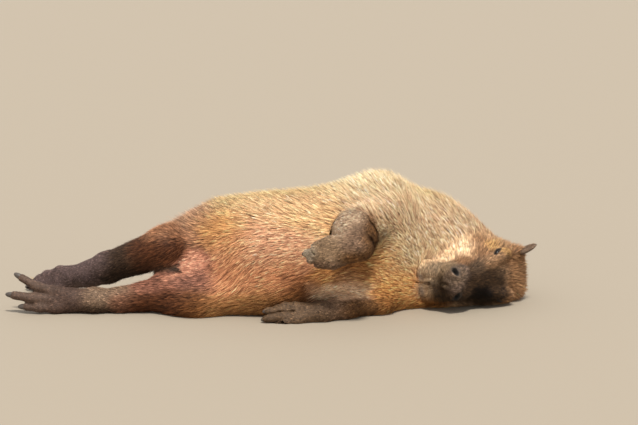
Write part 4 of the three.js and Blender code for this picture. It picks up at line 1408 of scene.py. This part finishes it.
# Stray hairs: their share of short hair and of long hair, where long hair starts, and how much longer,
# steeper and thinner than the rest they are.
STRAY = SimpleNamespace(least=0.05, most=0.14, long=(26, 34), length=1.15, rise=1.9, width=0.7)
STAND = 12              # how far a stray hair reaches over the rest
TUFT_ROUND = 0.6        # how far a tuft's normals turn to its sides from the skin's normal
TUFT_DEEP = 0.5         # a tuft's depth, as a share of its width
UNEVEN = (0.75, 1.25)   # widths of tufts
STEEP = (0.02, 0.9)     # least and most rise of a tuft
BENEATH = SimpleNamespace(height=4, facing=-0.6, density=0.12)      # what lies on the floor
COLOURS = (0.002, 0.95)             # darkest and lightest
VARIES = SimpleNamespace(way=(0.05, 0.04), length=(0.10, 0.12), rise=(0.15, 0.15), tone=(0.33, 0.32))


def unwrap(piece):
    """Lays the skin out flat on its own map, and gives each corner's place on it."""
    mesh = piece.data
    mesh.uv_layers.new(name="OFBake")
    bpy.context.view_layer.objects.active = piece
    piece.select_set(True)
    bpy.ops.object.mode_set(mode="EDIT")
    bpy.ops.mesh.select_all(action="SELECT")
    bpy.ops.uv.smart_project(angle_limit=math.radians(66), island_margin=0.002)
    bpy.ops.object.mode_set(mode="OBJECT")
    piece.select_set(False)
    places = np.zeros(len(mesh.loops) * 2, np.float32)
    mesh.uv_layers["OFBake"].data.foreach_get("uv", places)
    return places.reshape(-1, 3, 2)


def scatter(p, faces, density):
    """Roots spread evenly over the skin: the face of each, and its share of the three corners."""
    a, b, c = (p[faces[:, i]] for i in range(3))
    area = np.linalg.norm(np.cross(b - a, c - a), axis=1) / 2 / SQUARE_CM
    share = np.cumsum(area * density)
    count = int(share[-1])
    marks = (np.arange(count) + chance.random(count)) * share[-1] / count
    face = np.minimum(np.searchsorted(share, marks), len(faces) - 1)
    u, v = np.sqrt(chance.random(count)), chance.random(count)
    return face, np.stack([1 - u, u * (1 - v), u * v], axis=1)


def mean_of(group, values):
    """The mean of the values over each group, for each of its members."""
    count = np.bincount(group)
    return np.stack([np.bincount(group, column) / count for column in values.T], axis=1)[group]


def varied(name, lock, count, wide=1):
    """Chance changes, partly shared by the hairs of a lock."""
    shared, own = getattr(VARIES, name)
    together = chance.normal(0, shared, (lock.max() + 1, wide))[lock]
    return together + chance.normal(0, own, (count, wide))


def grow_coat(skin, material):
    """Grows the tufts: straight spikes of three sides, in locks with their tips drawn together. Their
    normals stay near the skin's, so that the coat is lit as one surface."""
    mesh = skin.data
    p = to_body(read(mesh, "co", 3).astype(float))
    normal = read(mesh, "normal", 3).astype(float)
    faces = read(mesh, "vertices", 3, np.int32, "polygons")
    styles, lie = coat_at(p, normal)
    set_colours(mesh, "hide", np.clip(styles[:, HIDE], *COLOURS))
    flat_map = unwrap(skin)

    density = styles[faces, DENSITY].mean(axis=1)
    low, down = p[faces, 2].mean(axis=1), normal[faces, 2].mean(axis=1)
    density[(low < BENEATH.height) & (down < BENEATH.facing)] *= BENEATH.density
    face, shares = scatter(p, faces, density)
    corners, count = faces[face], len(face)
    print("tufts", count)

    def mixed(values):
        return np.einsum("nk,nkd->nd", shares, values[corners])

    root, up, look = mixed(p), unit(mixed(normal)), mixed(styles)
    cell = np.floor(root / LOCK.size + chance.normal(0, LOCK.uneven, root.shape)).astype(int)
    lock = np.unique(cell @ CELL_NUMBERS, return_inverse=True)[1]
    way = across(mixed(lie) + varied("way", lock, count, 3), up)
    strays = STRAY.least + (STRAY.most - STRAY.least) * step(*STRAY.long, look[:, LENGTH])
    stray = chance.random(count) < strays
    length = look[:, LENGTH] * np.exp(varied("length", lock, count)[:, 0]) * np.where(stray, STRAY.length, 1)
    rise = look[:, RISE] * np.exp(varied("rise", lock, count)[:, 0]) * np.where(stray, STRAY.rise, 1)
    width = look[:, WIDTH] * chance.uniform(*UNEVEN, count) * np.where(stray, STRAY.width, 1)
    rise = np.minimum(rise, (COAT_DEPTH * look[:, LENGTH] * look[:, RISE] + STAND) / length)
    rise = np.clip(rise, *STEEP)
    out = (way * np.sqrt(1 - rise ** 2)[:, None] + up * rise[:, None]) * length[:, None]
    pull = LOCK.pull * step(*LOCK.pulled, length) * ~stray
    tip = root + out
    tip += (mean_of(lock, tip) - tip) * pull[:, None]
    base = root - up * ROOT_UNDER
    side = unit(np.cross(tip - base, up))
    across_tuft = np.stack([-side, side, up * TUFT_DEEP], axis=1) * (width / 2)[:, None, None]
    spikes = np.concatenate([base[:, None] + across_tuft, tip[:, None]], axis=1)
    spikes[:, :, 2] = np.maximum(spikes[:, :, 2], FLOOR_LIFT + TIP_OVER)
    round_tuft = np.stack([-side, side, side * 0, side * 0], axis=1)
    normals = unit(up[:, None] + TUFT_ROUND * round_tuft)

    tone = np.exp(varied("tone", lock, count))
    colours = np.stack([look[:, ROOT] * tone] * 3 + [look[:, TIP] * tone], axis=1)
    spot = np.einsum("nk,nkd->nd", shares, flat_map[face])
    patch = np.array(PATCH_CORNERS) * PATCH / 2
    on_map = np.clip(spot, PATCH, 1 - PATCH)[:, None] + patch
    order = chance.permutation(count)
    for k, start in enumerate(range(0, count, PIECE_TUFTS)):
        some = order[start:start + PIECE_TUFTS]
        make_tufts(f"coat_{k + 1}", spikes[some], normals[some], colours[some], on_map[some], material)


def make_tufts(name, corners, normals, colours, on_map, material):
    sides = np.array([[1, 0, 3], [2, 1, 3], [0, 2, 3]])
    count = len(corners)
    index = (np.arange(count) * 4)[:, None, None] + sides
    mesh = bpy.data.meshes.new(name)
    mesh.vertices.add(count * 4)
    mesh.vertices.foreach_set("co", to_frame(corners).astype(np.float32).ravel())
    mesh.loops.add(index.size)
    mesh.loops.foreach_set("vertex_index", index.ravel().astype(np.int32))
    mesh.polygons.add(index.size // 3)
    mesh.polygons.foreach_set("loop_start", np.arange(0, index.size, 3, dtype=np.int32))
    mesh.update(calc_edges=True)
    set_colours(mesh, "coat", np.clip(colours.reshape(-1, 3), *COLOURS))
    layer = mesh.uv_layers.new(name="OFBake")
    layer.data.foreach_set("uv", on_map[:, sides].astype(np.float32).ravel())
    mesh.shade_smooth()
    mesh.normals_split_custom_set_from_vertices(normals.reshape(-1, 3))
    finish(new_object(name, mesh, material), "fur")


# Eyes and nails

IRIS_EDGE = 0.72        # as a share of the eyeball's radius
IRIS = [(0.0, "060404"), (0.42, "060404"), (0.5, "22140a"), (0.85, "180e08"), (1.0, "0e0a08")]


def make_eye(name, eye, material):
    bm = bmesh.new()
    bmesh.ops.create_uvsphere(
        bm, u_segments=48, v_segments=32, radius=1,
        matrix=TO_FRAME @ eye.axes.matrix([0, 0, 0], [EYE_RADIUS] * 3))
    mesh = mesh_of(bm, name)
    q = eye.axes.inward(to_body(read(mesh, "co", 3).astype(float)))
    ring = np.hypot(q[:, 0], q[:, 1]) / (EYE_RADIUS * IRIS_EDGE)
    shares = [share for share, code in IRIS]
    codes = np.array([paint(code) for share, code in IRIS])
    colours = np.stack([np.interp(ring, shares, channel) for channel in codes.T], axis=1)
    set_colours(mesh, "iris", colours)
    mesh.shade_smooth()
    finish(new_object(f"{name}_ball", mesh, material), "eye", name)


NAIL_SOLE = -0.35       # where a nail's flat sole lies, as a share of its height
NAIL_CURVE = 0.16       # how far its tip curves down
NAIL_EDGE = 0.0006


def make_nail(node, axes, half, out, lift, material):
    """A blunt hoof-like nail: an egg cut flat below, its edge rounded and its tip curved down."""
    bm = bmesh.new()
    turned = Matrix.Rotation(math.pi / 2, 4, "Y")
    bmesh.ops.create_uvsphere(bm, u_segments=28, v_segments=18, radius=1, matrix=turned)
    cut = bmesh.ops.bisect_plane(
        bm, geom=bm.verts[:] + bm.edges[:] + bm.faces[:], plane_co=(0, 0, NAIL_SOLE),
        plane_no=(0, 0, -1), clear_outer=True)
    rim = [e for e in cut["geom_cut"] if isinstance(e, bmesh.types.BMEdge)]
    sole = bmesh.ops.holes_fill(bm, edges=rim, sides=0)["faces"]
    for v in bm.verts:
        v.co.z -= NAIL_CURVE * (v.co.x + 1) ** 2
    bmesh.ops.transform(
        bm, verts=bm.verts, matrix=TO_FRAME @ axes.matrix([out, 0, lift], half))
    edges = list({e for f in sole for e in f.edges})
    bmesh.ops.bevel(bm, geom=edges, offset=NAIL_EDGE, affect="EDGES", segments=2, profile=0.5, material=-1)
    for v in bm.verts:
        v.co.z = max(v.co.z, FLOOR_LIFT * MM)
    bmesh.ops.recalc_face_normals(bm, faces=bm.faces)
    mesh = mesh_of(bm, f"nail_{node}")
    mesh.shade_smooth()
    finish(new_object(node.replace("claw", "nail"), mesh, material), "horn", node)


mottle = mottle_group()
grain = grain_group()
make_camera()
make_studio()
skin = make_skin()
skin.data.materials.append(skin_material())
grow_coat(skin, coat_material())
finish(skin, "fur", *FLESH)
eye_look, horn = eye_material(), horn_material()
for name, eye in EYES.items():
    make_eye(name, eye, eye_look)
for name, paw in paws.items():
    nail = NAILS[name.split("_")[0]]
    for i, (axes, lift) in enumerate(paw.nails):
        make_nail(f"claw_{name}_{i + 1}", axes, nail.half, nail.out, lift, horn)
